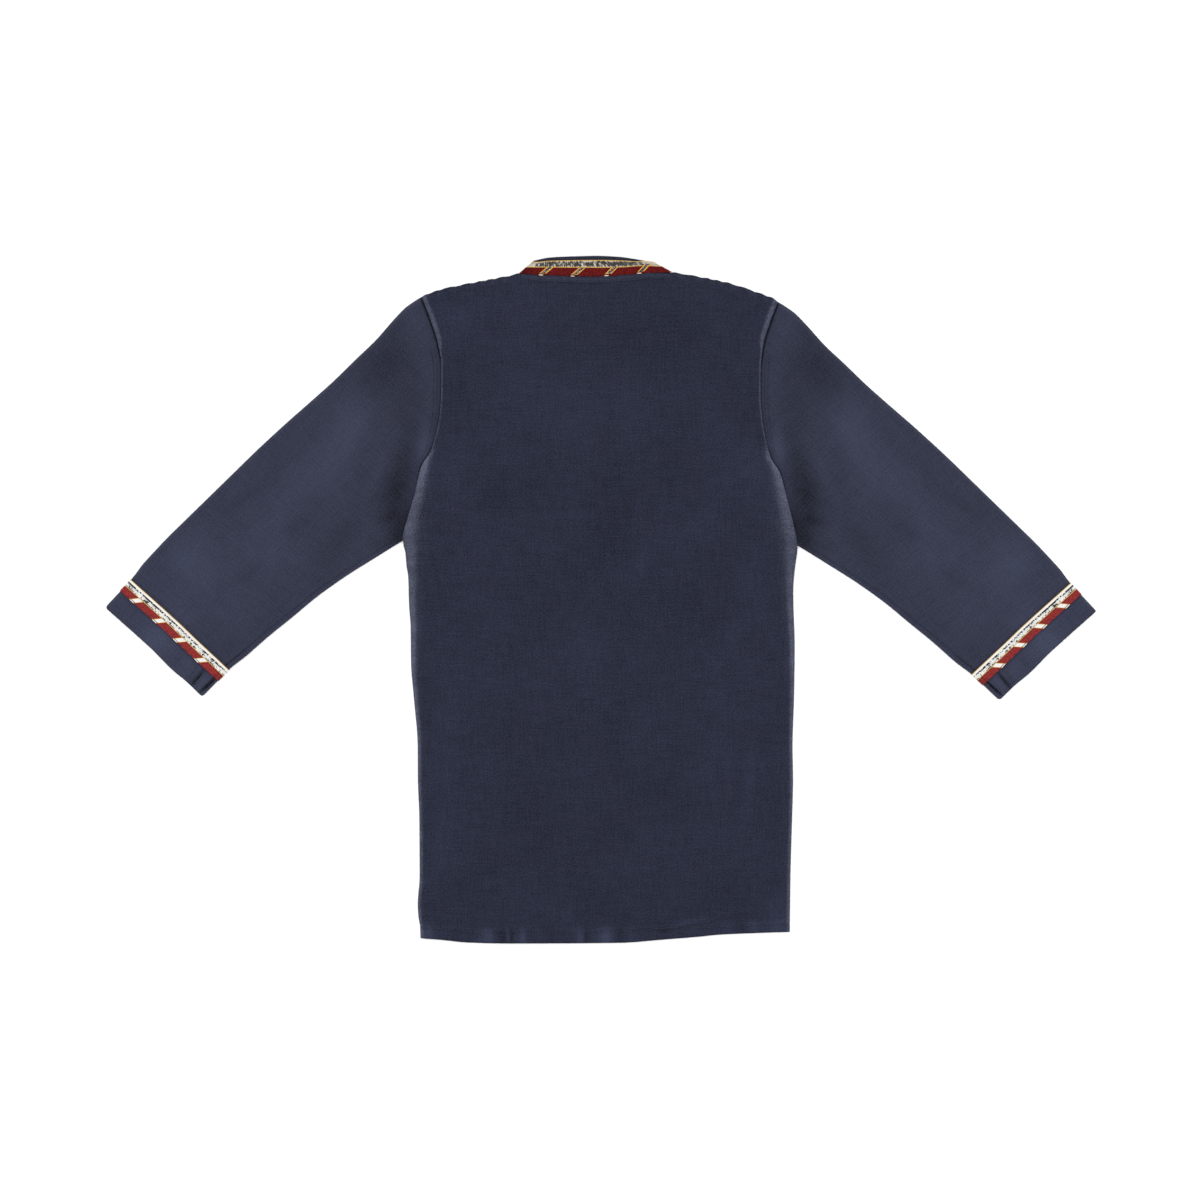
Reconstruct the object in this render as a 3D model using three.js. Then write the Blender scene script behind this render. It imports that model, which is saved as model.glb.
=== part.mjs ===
// A child's kurta lying flat on its front, with both sleeves spread. Millimetres, +Z up.
// x runs to the right and "down" runs from the top of the collar to the hem.

import * as THREE from 'three';

// Driving sizes
const garmentLength = 687.5;
const wall = 1.0;
const seamGap = 0.3;
const layer = wall + seamGap;
const hemDepth = 11;
const hemExtra = 0.6;
const cuffAcross = 132;
const braidWidth = 15.6;
const braidRed = 6.9;
const braidThick = 0.6;
const barThick = 0.5;
const sleeveAtCuff = 3.2;
const sleeveAtArmhole = 2.5;
const collarHeight = 19.5;
const collarSilverTop = 14.4;
const collarRedTop = 7.4;
const placketHalf = 14;
const placketLength = 160;
const placketRise = 1.5;
const buttonRadius = 5.5;
const buttonThick = 1.2;
const frontNeckDepth = 57;
const centreFront = -5.3;

const navy = 0x33384a;
const navyLight = 0x454a5e;
const red = 0x8f2a2a;
const silver = 0xe2ddd2;
const gold = 0xc9a465;

// The two sides of the back: armhole, the fold that laps over the sleeve, then the side seam.
const leftSide = [
  { down: 41, out: 179.8 },
  { down: 64, out: 170.8 },
  { down: 87, out: 163.4 },
  { down: 108, out: 160.0 },
  { down: 135, out: 160.0 },
  { down: 158, out: 161.5 },
  { down: 194, out: 170.1 },
  { down: 210.5, out: 179.8 },
  { down: 238, out: 186.4 },
  { down: 259, out: 192.5 },
  { down: 282, out: 198.2 },
  { down: 290, out: 197.3 },
  { down: 297, out: 195.5 },
  { down: 310, out: 194.6 },
  { down: 320, out: 192.9 },
  { down: 350, out: 192.0 },
  { down: 370, out: 190.5 },
  { down: 408, out: 190.0 },
  { down: 440, out: 187.4 },
  { down: 490, out: 183.4 },
  { down: 524, out: 183.2 },
  { down: 560, out: 181.8 },
  { down: 620, out: 181.4 },
  { down: 648, out: 183.3 },
  { down: 662, out: 182.5 },
  { down: 670, out: 181.0 },
  { down: 682.2, out: 180.6 },
];
const rightSide = [
  { down: 46, out: 177.0 },
  { down: 65, out: 169.8 },
  { down: 93, out: 161.6 },
  { down: 116, out: 159.6 },
  { down: 142, out: 159.6 },
  { down: 165, out: 161.6 },
  { down: 201.6, out: 169.8 },
  { down: 217, out: 179.0 },
  { down: 232, out: 183.2 },
  { down: 255, out: 189.2 },
  { down: 273, out: 193.4 },
  { down: 290, out: 196.3 },
  { down: 296, out: 196.0 },
  { down: 304, out: 195.0 },
  { down: 320, out: 193.1 },
  { down: 334, out: 192.2 },
  { down: 350, out: 192.4 },
  { down: 390, out: 193.7 },
  { down: 440, out: 193.0 },
  { down: 490, out: 191.5 },
  { down: 524, out: 192.0 },
  { down: 564, out: 191.0 },
  { down: 620, out: 189.4 },
  { down: 675.9, out: 188.7 },
];

// The hidden end of each armhole, under the fold of the back.
const leftUnderarm = [
  { down: 240, out: 183.2 },
  { down: 264, out: 186.2 },
  { down: 278, out: 186.8 },
];
const rightUnderarm = [
  { down: 247, out: 184.0 },
  { down: 270, out: 186.7 },
  { down: 284, out: 187.3 },
];
const foldStartLeft = 210.5;
const foldStartRight = 217;

// Shoulders and back neck, and the hem, from left to right.
const shoulderLine = [
  { x: -179.8, down: 41 },
  { x: -168.8, down: 36.3 },
  { x: -154.8, down: 32 },
  { x: -134.8, down: 28 },
  { x: -113.8, down: 24 },
  { x: -92.8, down: 20 },
  { x: -80.8, down: 17.8 },
  { x: -55.8, down: 19.5 },
  { x: -9.8, down: 21 },
  { x: 26.2, down: 19 },
  { x: 49.2, down: 16.8 },
  { x: 70.2, down: 16.8 },
  { x: 96.2, down: 20.5 },
  { x: 114.2, down: 24 },
  { x: 131.2, down: 28 },
  { x: 145.2, down: 32.5 },
  { x: 155.2, down: 36 },
  { x: 166.2, down: 40 },
  { x: 174.2, down: 43.5 },
  { x: 177, down: 46 },
];
const hemLine = [
  { x: -180.6, down: 682.2 },
  { x: -158.8, down: 684 },
  { x: -133.8, down: 686.5 },
  { x: -91.8, down: 687.5 },
  { x: -46.8, down: 687.4 },
  { x: 19.2, down: 686.8 },
  { x: 62.2, down: 683.6 },
  { x: 97.2, down: 680.8 },
  { x: 118.2, down: 678.7 },
  { x: 167.2, down: 676.6 },
  { x: 188.7, down: 675.9 },
];
const neckLeft = -80.8;
const neckRight = 70.2;

// How far the side rolls up, and how wide the roll is, down each side.
const sideRoll = [
  { down: 200, high: 0.2, wide: 4 },
  { down: 250, high: 1.4, wide: 13 },
  { down: 290, high: 2.2, wide: 15 },
  { down: 440, high: 1.6, wide: 9 },
  { down: 690, high: 0.9, wide: 5 },
];

// One sleeve: its folded edge, and its seam edge as it lies on each arm, at each distance from the cuff.
const sleeveCut = [
  { from: 0, fold: 0, left: 132, right: 132 },
  { from: 38, fold: 0.4, left: 133.6, right: 134.7 },
  { from: 60, fold: -1.4, left: 137.2, right: 138.7 },
  { from: 86, fold: -1.2, left: 140.1, right: 141.4 },
  { from: 118, fold: 0.4, left: 144.9, right: 146.0 },
  { from: 149, fold: 2.2, left: 149.2, right: 150.3 },
  { from: 182, fold: 4.1, left: 156.1, right: 157.1 },
  { from: 218, fold: 6.2, left: 165.8, right: 166.6 },
  { from: 247, fold: 8.6, left: 173.7, right: 174.5 },
  { from: 262, fold: 10, left: 178.0, right: 178.6 },
  { from: 295, fold: 13.6, left: 178.0, right: 178.6 },
  { from: 325, fold: 16.5, left: 178.0, right: 178.6 },
  { from: 353, fold: 18, left: 178.0, right: 178.6 },
  { from: 382, fold: 19.8, left: 178.0, right: 178.6 },
  { from: 408, fold: 19.2, left: 178.0, right: 178.6 },
  { from: 420, fold: 19.4, left: 178.0, right: 178.6 },
  { from: 436, fold: 22.4, left: 178.0, right: 178.6 },
  { from: 442, fold: 24.2, left: 178.0, right: 178.6 },
];
const sleeveSeamLength = 262;
const sleeveStraight = 96;

// Soft swells on the sleeves: place along the seam edge, place across, reach each way and height.
const sleeveSwells = [
  { from: 222, across: 0.42, long: 26, wide: 0.2, high: 1.5 },
  { from: 196, across: 0.12, long: 34, wide: 0.16, high: 1.0 },
  { from: 168, across: 0.7, long: 30, wide: 0.14, high: 1.1 },
  { from: 118, across: 0.3, long: 34, wide: 0.22, high: 1.3 },
  { from: 74, across: 0.62, long: 22, wide: 0.18, high: 0.9 },
];

const arms = {
  left: {
    side: -1,
    seam: 'left',
    corner: { x: -495.8, down: 351.2 },
    lean: THREE.MathUtils.degToRad(42.36),
    trimFrom: 22.1,
    bars: [18.7, 48.3, 77.8, 106.6],
    edge: leftSide,
    underarm: leftUnderarm,
    foldStart: foldStartLeft,
  },
  right: {
    side: 1,
    seam: 'right',
    corner: { x: 496.4, down: 356.1 },
    lean: THREE.MathUtils.degToRad(42.47),
    trimFrom: 24.1,
    bars: [20.7, 50.7, 79.7, 109.7],
    edge: rightSide,
    underarm: rightUnderarm,
    foldStart: foldStartRight,
  },
};

// How far the cuff's edge and the trim waver from a straight line, from the folded edge to the seam.
const cuffEdge = [
  { across: 0, left: -0.2, right: 1.5, trim: 0 },
  { across: 0.45, left: 0.4, right: 2.2, trim: 0.6 },
  { across: 0.7, left: -1.1, right: 0.9, trim: -0.1 },
  { across: 0.84, left: -0.2, right: 1.8, trim: -0.3 },
  { across: 1, left: -0.9, right: 1.2, trim: -0.6 },
];

// Slanting bars of the braid, 29 mm apart on the cuffs and 32 mm on the collar.
const collarBars = [-53.8, -22.8, 10.2, 42.7];
const barLong = 10.6;
const barWide = 6.4;
const barSlant = THREE.MathUtils.degToRad(41);

// Helpers

const mix = (a, b, t) => a + (b - a) * t;

function ramp(at, start, end) {
  const t = THREE.MathUtils.clamp((at - start) / (end - start), 0, 1);
  return t * t * (3 - 2 * t);
}

// The smooth value of one column of a table at a place in another column, without overshoot.
function read(rows, key, column, at) {
  const last = rows.length - 1;
  if (at <= rows[0][key]) return rows[0][column];
  if (at >= rows[last][key]) return rows[last][column];
  const k = rows.findIndex((row, i) => i < last && at <= rows[i + 1][key]);
  const slope = (i) => (rows[i + 1][column] - rows[i][column]) / (rows[i + 1][key] - rows[i][key]);
  const tangent = (i) => {
    if (i === 0) return slope(0);
    if (i === last) return slope(last - 1);
    const [before, after] = [slope(i - 1), slope(i)];
    return before * after <= 0 ? 0 : (2 * before * after) / (before + after);
  };
  const long = rows[k + 1][key] - rows[k][key];
  const t = (at - rows[k][key]) / long;
  const [t2, t3] = [t * t, t * t * t];
  return (2 * t3 - 3 * t2 + 1) * rows[k][column] + (t3 - 2 * t2 + t) * long * tangent(k)
    + (3 * t2 - 2 * t3) * rows[k + 1][column] + (t3 - t2) * long * tangent(k + 1);
}

// Places from 0 to 1 that crowd towards both ends: steps in mm from each end, then even ones between.
function places(length, startSteps, endSteps, middle) {
  const start = startSteps.map((step) => step / length);
  const end = endSteps.map((step) => 1 - step / length).reverse();
  const low = start[start.length - 1];
  const between = Array.from({ length: middle }, (_, i) => mix(low, end[0], (i + 1) / (middle + 1)));
  return [...start, ...between, ...end];
}

const raised = (x, down, z) => new THREE.Vector3(x, garmentLength / 2 - down, z);

function closedGeometry(points, faces) {
  const corners = points.flatMap((point) => [point.x, point.y, point.z]);
  const triangles = faces.flatMap(([a, b, c, d]) => [a, b, c, a, c, d]);
  const volume = triangles.reduce((sum, _, i) => {
    if (i % 3) return sum;
    const [a, b, c] = [points[triangles[i]], points[triangles[i + 1]], points[triangles[i + 2]]];
    return sum + a.dot(new THREE.Vector3().crossVectors(b, c)) / 6;
  }, 0);
  if (volume < 0) triangles.reverse();
  const geometry = new THREE.BufferGeometry();
  geometry.setAttribute('position', new THREE.Float32BufferAttribute(corners, 3));
  geometry.setIndex(triangles);
  return geometry;
}

// A wall of cloth from a grid of points with an outer and an inner place each. Cells may be left out
// for a slit, and "round" joins the last column to the first, as on a tube.
function clothWall(grid, { keep = () => true, round = false } = {}) {
  const [rows, columns] = [grid.length, grid[0].length];
  const points = [...grid.flat().map((p) => p.outer), ...grid.flat().map((p) => p.inner)];
  const outer = (i, j) => i * columns + (j % columns);
  const inner = (i, j) => rows * columns + outer(i, j);
  const across = round ? columns : columns - 1;
  const kept = (i, j) => {
    if (i < 0 || i >= rows - 1) return false;
    if (!round && (j < 0 || j >= across)) return false;
    return keep(i, (j + across) % across);
  };
  const faces = [];
  for (let i = 0; i < rows - 1; i += 1) {
    for (let j = 0; j < across; j += 1) {
      if (!kept(i, j)) continue;
      const [a, b, c, d] = [[i, j], [i + 1, j], [i + 1, j + 1], [i, j + 1]];
      faces.push([outer(...a), outer(...b), outer(...c), outer(...d)]);
      faces.push([inner(...d), inner(...c), inner(...b), inner(...a)]);
      const edges = [[d, a, kept(i - 1, j)], [a, b, kept(i, j - 1)], [b, c, kept(i + 1, j)], [c, d, kept(i, j + 1)]];
      for (const [p, q, joined] of edges) {
        if (!joined) faces.push([outer(...q), outer(...p), inner(...p), inner(...q)]);
      }
    }
  }
  const used = [...new Set(faces.flat())];
  const index = new Map(used.map((old, fresh) => [old, fresh]));
  return closedGeometry(used.map((old) => points[old]), faces.map((face) => face.map((p) => index.get(p))));
}

const kurta = new THREE.Group();

function addPiece(name, geometry, colour, roughness, metalness = 0) {
  const piece = new THREE.Mesh(geometry, new THREE.MeshStandardMaterial({ color: colour, roughness, metalness }));
  piece.name = name;
  kurta.add(piece);
}

// Body panels: each point is worked out between the four sewn edges.

function panelPoint(panel, u, v) {
  const edgePoint = (rows, side, t) => {
    const down = mix(rows[0].down, rows[rows.length - 1].down, t);
    return { x: side * (read(rows, 'down', 'out', down) - panel.inset), down };
  };
  const linePoint = (rows, t) => {
    const x = mix(rows[0].x + panel.inset, rows[rows.length - 1].x - panel.inset, t);
    return { x, down: read(rows, 'x', 'down', x) };
  };
  const [top, hem] = [linePoint(panel.top, u), linePoint(panel.hem, u)];
  const [left, right] = [edgePoint(panel.left, -1, v), edgePoint(panel.right, 1, v)];
  const corners = [linePoint(panel.top, 0), linePoint(panel.top, 1), linePoint(panel.hem, 0), linePoint(panel.hem, 1)];
  const blend = (key) => mix(top[key], hem[key], v) + mix(left[key], right[key], u)
    - mix(mix(corners[0][key], corners[1][key], u), mix(corners[2][key], corners[3][key], u), v);
  return { x: blend('x'), down: blend('down'), width: right.x - left.x };
}

function placketSwell(x, down) {
  const beside = 1 - ramp(Math.abs(x - centreFront), placketHalf + 8, placketHalf + 52);
  const end = frontNeckDepth + placketLength + 17;
  return beside * (1 - ramp(down, end + 8, end + 70));
}

const backColumns = places(372, [0, 1.2, 3, 5, 8, 12, 17, 26, 42], [0, 1.2, 3, 5, 8, 12, 17, 26, 42], 9);
const backRows = places(640, [0, 1.5, 4, 6, 11, 20], [0, 1.5, 9.5, 11.5, 22], 32);

// The under side of the back: over the sleeves' edges at the armpits, over the placket, then on the front.
function backRest(x, down, fromSide, fromTop) {
  const overSleeve = 1.6 * (1 - ramp(down, 305, 430));
  const overPlacket = 1.2 * placketSwell(x, down);
  const roll = read(sideRoll, 'down', 'high', down);
  const wide = read(sideRoll, 'down', 'wide', down);
  const level = layer + overSleeve + overPlacket;
  const crest = level + roll * (1 - ramp(fromSide, wide, wide * 3.4));
  const sideLevel = mix(level, layer, ramp(down, 295, 315));
  const bend = THREE.MathUtils.clamp(1 - fromSide / wide, 0, 1);
  const rolled = mix(crest, sideLevel, (1 - Math.sqrt(1 - bend * bend)) * ramp(down, 205, 235));
  const shoulder = Math.max(ramp(x, neckRight + 4, neckRight + 20), ramp(-x, -neckLeft + 4, -neckLeft + 20));
  const lowered = (rolled - layer) * shoulder * (1 - ramp(fromTop, -2, 9));
  return rolled - lowered;
}

function backThickness(x, down, fromSide, fromTop, fromHem) {
  const ridge = (down < 100 ? 0.8 : 0.4) * (1 - ramp(down, 195, 215)) * (1 - ramp(fromSide, 4, 6));
  const hemHere = mix(hemDepth, hemDepth - 3, ramp(x, 84, 112));
  const hem = hemExtra * (1 - ramp(fromHem, hemHere - 1.5, hemHere + 0.5));
  const neck = x > neckLeft + 14 && x < neckRight - 14 ? 0.4 * (1 - ramp(fromTop, 4, 6.5)) : 0;
  return wall + Math.max(ridge, hem, neck);
}

function buildBack() {
  const panel = { top: shoulderLine, hem: hemLine, left: leftSide, right: rightSide, inset: 0 };
  const grid = backRows.map((v) => backColumns.map((u) => {
    const { x, down, width } = panelPoint(panel, u, v);
    const fromSide = Math.min(u, 1 - u) * width;
    const [fromTop, fromHem] = [v * 640, (1 - v) * 640];
    const rest = backRest(x, down, fromSide, fromTop);
    const top = rest + backThickness(x, down, fromSide, fromTop, fromHem);
    return { outer: raised(x, down, top), inner: raised(x, down, rest) };
  }));
  addPiece('back', clothWall(grid), navy, 0.9);
}

// The front lies on the floor. Its armholes end under the folds of the back, and a slit holds the placket.

function frontSide(rows, underarm, foldStart) {
  const armhole = rows.filter((row) => row.down <= foldStart);
  const side = rows.filter((row) => row.down > underarm[underarm.length - 1].down + 8);
  return [...armhole, ...underarm, { down: side[0].down - 3, out: side[0].out - 3 }, ...side];
}

// The front neck is a parabola between the two neck points; t runs from -1 to 1 across it.
const neckPointDown = 17.5;
const frontNeckDown = (t) => neckPointDown + frontNeckDepth * (1 - t * t);
const frontNeckLine = [-1, -0.75, -0.5, -0.25, 0, 0.25, 0.5, 0.75, 1].map(
  (t) => ({ x: mix(neckLeft, neckRight, (t + 1) / 2), down: frontNeckDown(t) }),
);

const frontTop = [
  ...shoulderLine.filter((row) => row.x < neckLeft - 1),
  ...frontNeckLine,
  ...shoulderLine.filter((row) => row.x > neckRight + 1),
];

const frontInset = 1.0;
const frontSpan = [shoulderLine[0].x + frontInset, shoulderLine[shoulderLine.length - 1].x - frontInset];
const acrossFront = (x) => (x - frontSpan[0]) / (frontSpan[1] - frontSpan[0]);
const slitColumns = [-placketHalf - seamGap, placketHalf + seamGap].map((x) => acrossFront(centreFront + x));
const besideNeck = [-0.99, -0.75, -0.5, -0.3, 0.3, 0.5, 0.75, 0.99].map(
  (t) => acrossFront(mix(neckLeft, neckRight, (t + 1) / 2)),
);
const frontColumns = [0, 0.02, 0.06, 0.12, 0.19, ...besideNeck, ...slitColumns, 0.78, 0.85, 0.92, 0.97, 1]
  .sort((a, b) => a - b);
const frontRows = [...Array.from({ length: 30 }, (_, i) => i / 66), ...places(640, [300], [0, 11, 24], 10)];

function frontRest(x, down) {
  return placketRise * placketSwell(x, down);
}

function buildFront() {
  const panel = {
    top: frontTop,
    hem: hemLine,
    left: frontSide(leftSide, leftUnderarm, foldStartLeft),
    right: frontSide(rightSide, rightUnderarm, foldStartRight),
    inset: frontInset,
  };
  const slitEnd = neckPointDown + frontNeckDepth + placketLength;
  const grid = frontRows.map((v) => frontColumns.map((u) => {
    const { x, down } = panelPoint(panel, u, v);
    const rest = frontRest(x, down);
    return { outer: raised(x, down, rest), inner: raised(x, down, rest + wall) };
  }));
  const slit = frontColumns.indexOf(slitColumns[0]);
  const keep = (i, j) => j !== slit || garmentLength / 2 - grid[i + 1][j].outer.y > slitEnd;
  addPiece('front', clothWall(grid, { keep }), navy, 0.9);
  const open = grid.findIndex((row, i) => keep(i, slit));
  return grid.slice(0, open + 1).map((row) => [row[slit], row[slit + 1]]);
}

// Placket strips fill the slit, one on the other, and follow its edges.
function buildPlacket(slitEdges) {
  const lastRow = slitEdges.length - 1;
  const strip = (lift, narrow) => clothWall(slitEdges.map((edges, i) => edges.map(({ outer }, k) => {
    const inward = (k ? -1 : 1) * (seamGap + narrow);
    const shorter = i === 0 ? -wall : seamGap * (i === lastRow);
    const place = (z) => new THREE.Vector3(outer.x + inward, outer.y + shorter, placketRise + z);
    return { outer: place(lift), inner: place(lift + wall) };
  })));
  addPiece('placket_over', strip(0, 0), navy, 0.9);
  addPiece('placket_under', strip(layer, 2), navy, 0.9);
}

function buildButtons() {
  const neckDown = frontNeckDown(0);
  [22, 70, 118].forEach((below, i) => {
    const profile = [
      new THREE.Vector2(0, 0),
      new THREE.Vector2(buttonRadius - 0.4, 0),
      new THREE.Vector2(buttonRadius, 0.4),
      new THREE.Vector2(buttonRadius, buttonThick),
      new THREE.Vector2(0, buttonThick),
    ];
    const button = new THREE.LatheGeometry(profile, 14);
    button.rotateX(Math.PI / 2);
    const centre = raised(centreFront, neckDown + below, 0);
    button.translate(centre.x, centre.y, centre.z);
    addPiece(`button_${i + 1}`, button, navyLight, 0.45);
  });
}

// Sleeves: flattened tubes between a folded edge and a seam edge.

function armholePoint(arm, t) {
  const rows = [...arm.edge.filter((row) => row.down <= arm.foldStart), ...arm.underarm];
  const down = mix(rows[0].down, rows[rows.length - 1].down, t);
  const apart = mix(seamGap + 0.1, 1.5, ramp(down, arm.foldStart - 2, arm.foldStart + 14));
  return { x: arm.side * (read(rows, 'down', 'out', down) + apart), down };
}

function sleevePlan(arm, from, t) {
  const foldEnd = sleeveCut[sleeveCut.length - 1];
  const turning = Math.max(0, (from - sleeveStraight) / (sleeveSeamLength - sleeveStraight));
  const foldFrom = from + (foldEnd.from - sleeveSeamLength) * turning ** 1.35;
  const place = (along, across) => ({
    x: arm.corner.x - arm.side * (Math.sin(arm.lean) * along + Math.cos(arm.lean) * across),
    down: arm.corner.down - Math.cos(arm.lean) * along + Math.sin(arm.lean) * across,
  });
  const fold = place(foldFrom, read(sleeveCut, 'from', 'fold', foldFrom));
  const seam = place(from, read(sleeveCut, 'from', arm.seam, from));
  const waver = read(cuffEdge, 'across', arm.seam, t) * (1 - ramp(from, 0, 18))
    + read(cuffEdge, 'across', 'trim', t) * ramp(from, 8, 20) * (1 - ramp(from, 45, 70));
  const [still, moved] = [place(0, 0), place(waver, 0)];
  const [tip, underarm, here] = [armholePoint(arm, 0), armholePoint(arm, 1), armholePoint(arm, t)];
  const bend = ramp(turning, 0, 1) * turning;
  const settle = turning ** 3;
  const foldTip = place(foldEnd.from, foldEnd.fold);
  const seamTip = place(sleeveSeamLength, foldEnd[arm.seam]);
  const point = (key) => mix(fold[key], seam[key], t) + moved[key] - still[key]
    + bend * (here[key] - mix(tip[key], underarm[key], t))
    + settle * mix(tip[key] - foldTip[key], underarm[key] - seamTip[key], t);
  return { x: point('x'), down: point('down') };
}

function sleeveUnderLift(arm, from) {
  const beyond = from - arm.trimFrom;
  return (braidThick + seamGap) * ramp(beyond, -12, -2) * (1 - ramp(beyond, braidWidth + 2, braidWidth + 16));
}

function sleeveHeight(from, t) {
  const swell = sleeveSwells.reduce((sum, s) => {
    const [a, b] = [(from - s.from) / s.long, (t - s.across) / s.wide];
    return sum + s.high * Math.exp(-a * a - b * b);
  }, 0);
  const clear = (1 - ramp(from, 236, 258)) * ramp(t, 0, 0.06) * (1 - ramp(t, 0.94, 1));
  return mix(sleeveAtCuff, sleeveAtArmhole, ramp(from, 60, 240)) + swell * clear;
}

// One section of the sleeve: a flat ring with a round fold at each edge, grown outward by "out".
function sleeveRing(arm, from, out, thick) {
  const roundSteps = [-90, -50, 0, 50, 90];
  const flat = [0.03, 0.1, 0.2, 0.32, 0.45, 0.56, 0.64, 0.7, 0.78, 0.88, 0.96];
  const low = sleeveUnderLift(arm, from);
  const width = cuffAcross + Math.max(0, from - sleeveStraight) * 0.45;
  const ring = (grow) => {
    const half = (t) => (sleeveHeight(from, t) - low) / 2 + grow;
    const middle = (t) => (sleeveHeight(from, t) + low) / 2;
    const edge = (t, sign) => roundSteps.map((step) => {
      const angle = THREE.MathUtils.degToRad(step);
      const reach = (half(t) - grow) - Math.cos(angle) * half(t);
      return { t: t + sign * reach / width, z: middle(t) - sign * Math.sin(angle) * half(t) };
    });
    return [
      ...edge(0, 1),
      ...flat.map((t) => ({ t, z: middle(t) - half(t) })),
      ...edge(1, -1),
      ...[...flat].reverse().map((t) => ({ t, z: middle(t) + half(t) })),
    ].map(({ t, z }) => {
      const { x, down } = sleevePlan(arm, from, t);
      return raised(x, down, z);
    });
  };
  const [outer, inner] = [ring(out + thick), ring(out)];
  return outer.map((point, i) => ({ outer: point, inner: inner[i] }));
}

function buildSleeve(name, arm) {
  const beside = [-12, -2, braidWidth, braidWidth + 8].map((step) => arm.trimFrom + step);
  const stations = [
    0, 5, ...beside, 60, 75, 90, 106, 122, 138, 154, 170, 185, 199, 212, 224, 235, 245, 253, 258, 262,
  ];
  const rings = stations.map((from) => sleeveRing(arm, from, -wall, wall));
  addPiece(`sleeve_${name}`, clothWall(rings, { round: true }), navyLight, 0.9);
}

function buildCuffBraid(name, arm) {
  const band = (start, end) => [start, (start + end) / 2, end].map(
    (from) => sleeveRing(arm, from, seamGap, braidThick),
  );
  const redEnd = arm.trimFrom + braidRed;
  const redBand = clothWall(band(arm.trimFrom, redEnd), { round: true });
  addPiece(`cuff_${name}_braid_red`, redBand, red, 0.6);
  const silverBand = clothWall(band(redEnd + seamGap, arm.trimFrom + braidWidth), { round: true });
  addPiece(`cuff_${name}_braid_silver`, silverBand, silver, 0.45, 0.3);
  arm.bars.forEach((centre, i) => {
    const rest = sleeveAtCuff + braidThick + 2 * seamGap;
    const middle = arm.trimFrom + braidRed / 2 - 0.3;
    const corner = (along, across, lift) => {
      const from = middle + along * Math.cos(barSlant);
      const t = (centre + along * Math.sin(barSlant) + across) / cuffAcross;
      const { x, down } = sleevePlan(arm, from, t);
      return raised(x, down, rest + lift + sleeveHeight(from, t) - sleeveAtCuff);
    };
    const grid = [-0.5, 0, 0.5].map((a) => [-0.5, 0.5].map((b) => ({
      outer: corner(a * barLong, b * barWide, barThick),
      inner: corner(a * barLong, b * barWide, 0),
    })));
    addPiece(`cuff_${name}_bar_${i + 1}`, clothWall(grid), gold, 0.45, 0.4);
  });
}

// Collar: one band round the neck, over the back neck, folded at both sides, along the front neck.

const collarTurn = 1.0;
const collarLow = braidThick + seamGap + wall / 2;

// Lower and upper edge of the band along the back neck.
const collarBack = [
  { x: -79.6, foot: 17.2, headX: -65.4, head: 4.4 },
  { x: -60, foot: 18.2, headX: -51, head: 1.6 },
  { x: -30, foot: 19.4, headX: -24, head: 0.4 },
  { x: -4, foot: 19.8, headX: -4, head: 0 },
  { x: 26, foot: 18.4, headX: 18, head: 1.0 },
  { x: 48, foot: 16.4, headX: 34, head: 3.2 },
  { x: 69, foot: 16.2, headX: 51.6, head: 6.4 },
];

function collarStations() {
  const stations = [];
  const front = (t) => {
    const middle = (neckLeft + neckRight) / 2;
    const half = (neckRight - neckLeft) / 2;
    const foot = { x: middle + (half - 1.2) * t, down: frontNeckDown(t) - 1.0 };
    const head = { x: middle + (half - 18.5) * t, down: foot.down - mix(collarHeight, 12.5, t * t) };
    return { foot, head, z: collarLow, side: 0, up: -1 };
  };
  const turn = (x, headX, row, side, angles) => angles.forEach((step) => {
    const angle = THREE.MathUtils.degToRad(step);
    const out = side * collarTurn * Math.cos(angle);
    stations.push({
      foot: { x: x + out, down: row.foot },
      head: { x: headX + out, down: row.head },
      z: collarLow + collarTurn + collarTurn * Math.sin(angle),
      side: side * Math.cos(angle),
      up: Math.sin(angle),
    });
  });
  const opening = 0.01;
  for (let i = 0; i <= 9; i += 1) stations.push(front(-mix(opening, 0.985, i / 9)));
  const [first, last] = [collarBack[0], collarBack[collarBack.length - 1]];
  turn(first.x, first.headX, first, -1, [-75, -40, 0, 40, 75]);
  for (let i = 0; i <= 14; i += 1) {
    const x = mix(first.x, last.x, i / 14);
    const headX = read(collarBack, 'x', 'headX', x);
    stations.push({
      foot: { x, down: read(collarBack, 'x', 'foot', x) },
      head: { x: headX, down: read(collarBack, 'x', 'head', x) },
      z: collarLow + 2 * collarTurn,
      side: 0,
      up: 1,
    });
  }
  turn(last.x, last.headX, last, 1, [75, 40, 0, -40, -75]);
  for (let i = 0; i <= 9; i += 1) stations.push(front(mix(0.985, opening, i / 9)));
  return stations;
}

// A strip of the band between two heights, with its two faces at distances from the band's middle.
function collarStrip(lowest, highest, inner, outer) {
  const heights = [lowest, (lowest + highest) / 2, highest];
  return clothWall(collarStations().map((s) => heights.map((height) => {
    const t = height / collarHeight;
    const [x, down] = [mix(s.foot.x, s.head.x, t), mix(s.foot.down, s.head.down, t)];
    const face = (distance) => raised(x + s.side * distance, down, s.z + s.up * distance);
    return { outer: face(outer), inner: face(inner) };
  })));
}

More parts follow.
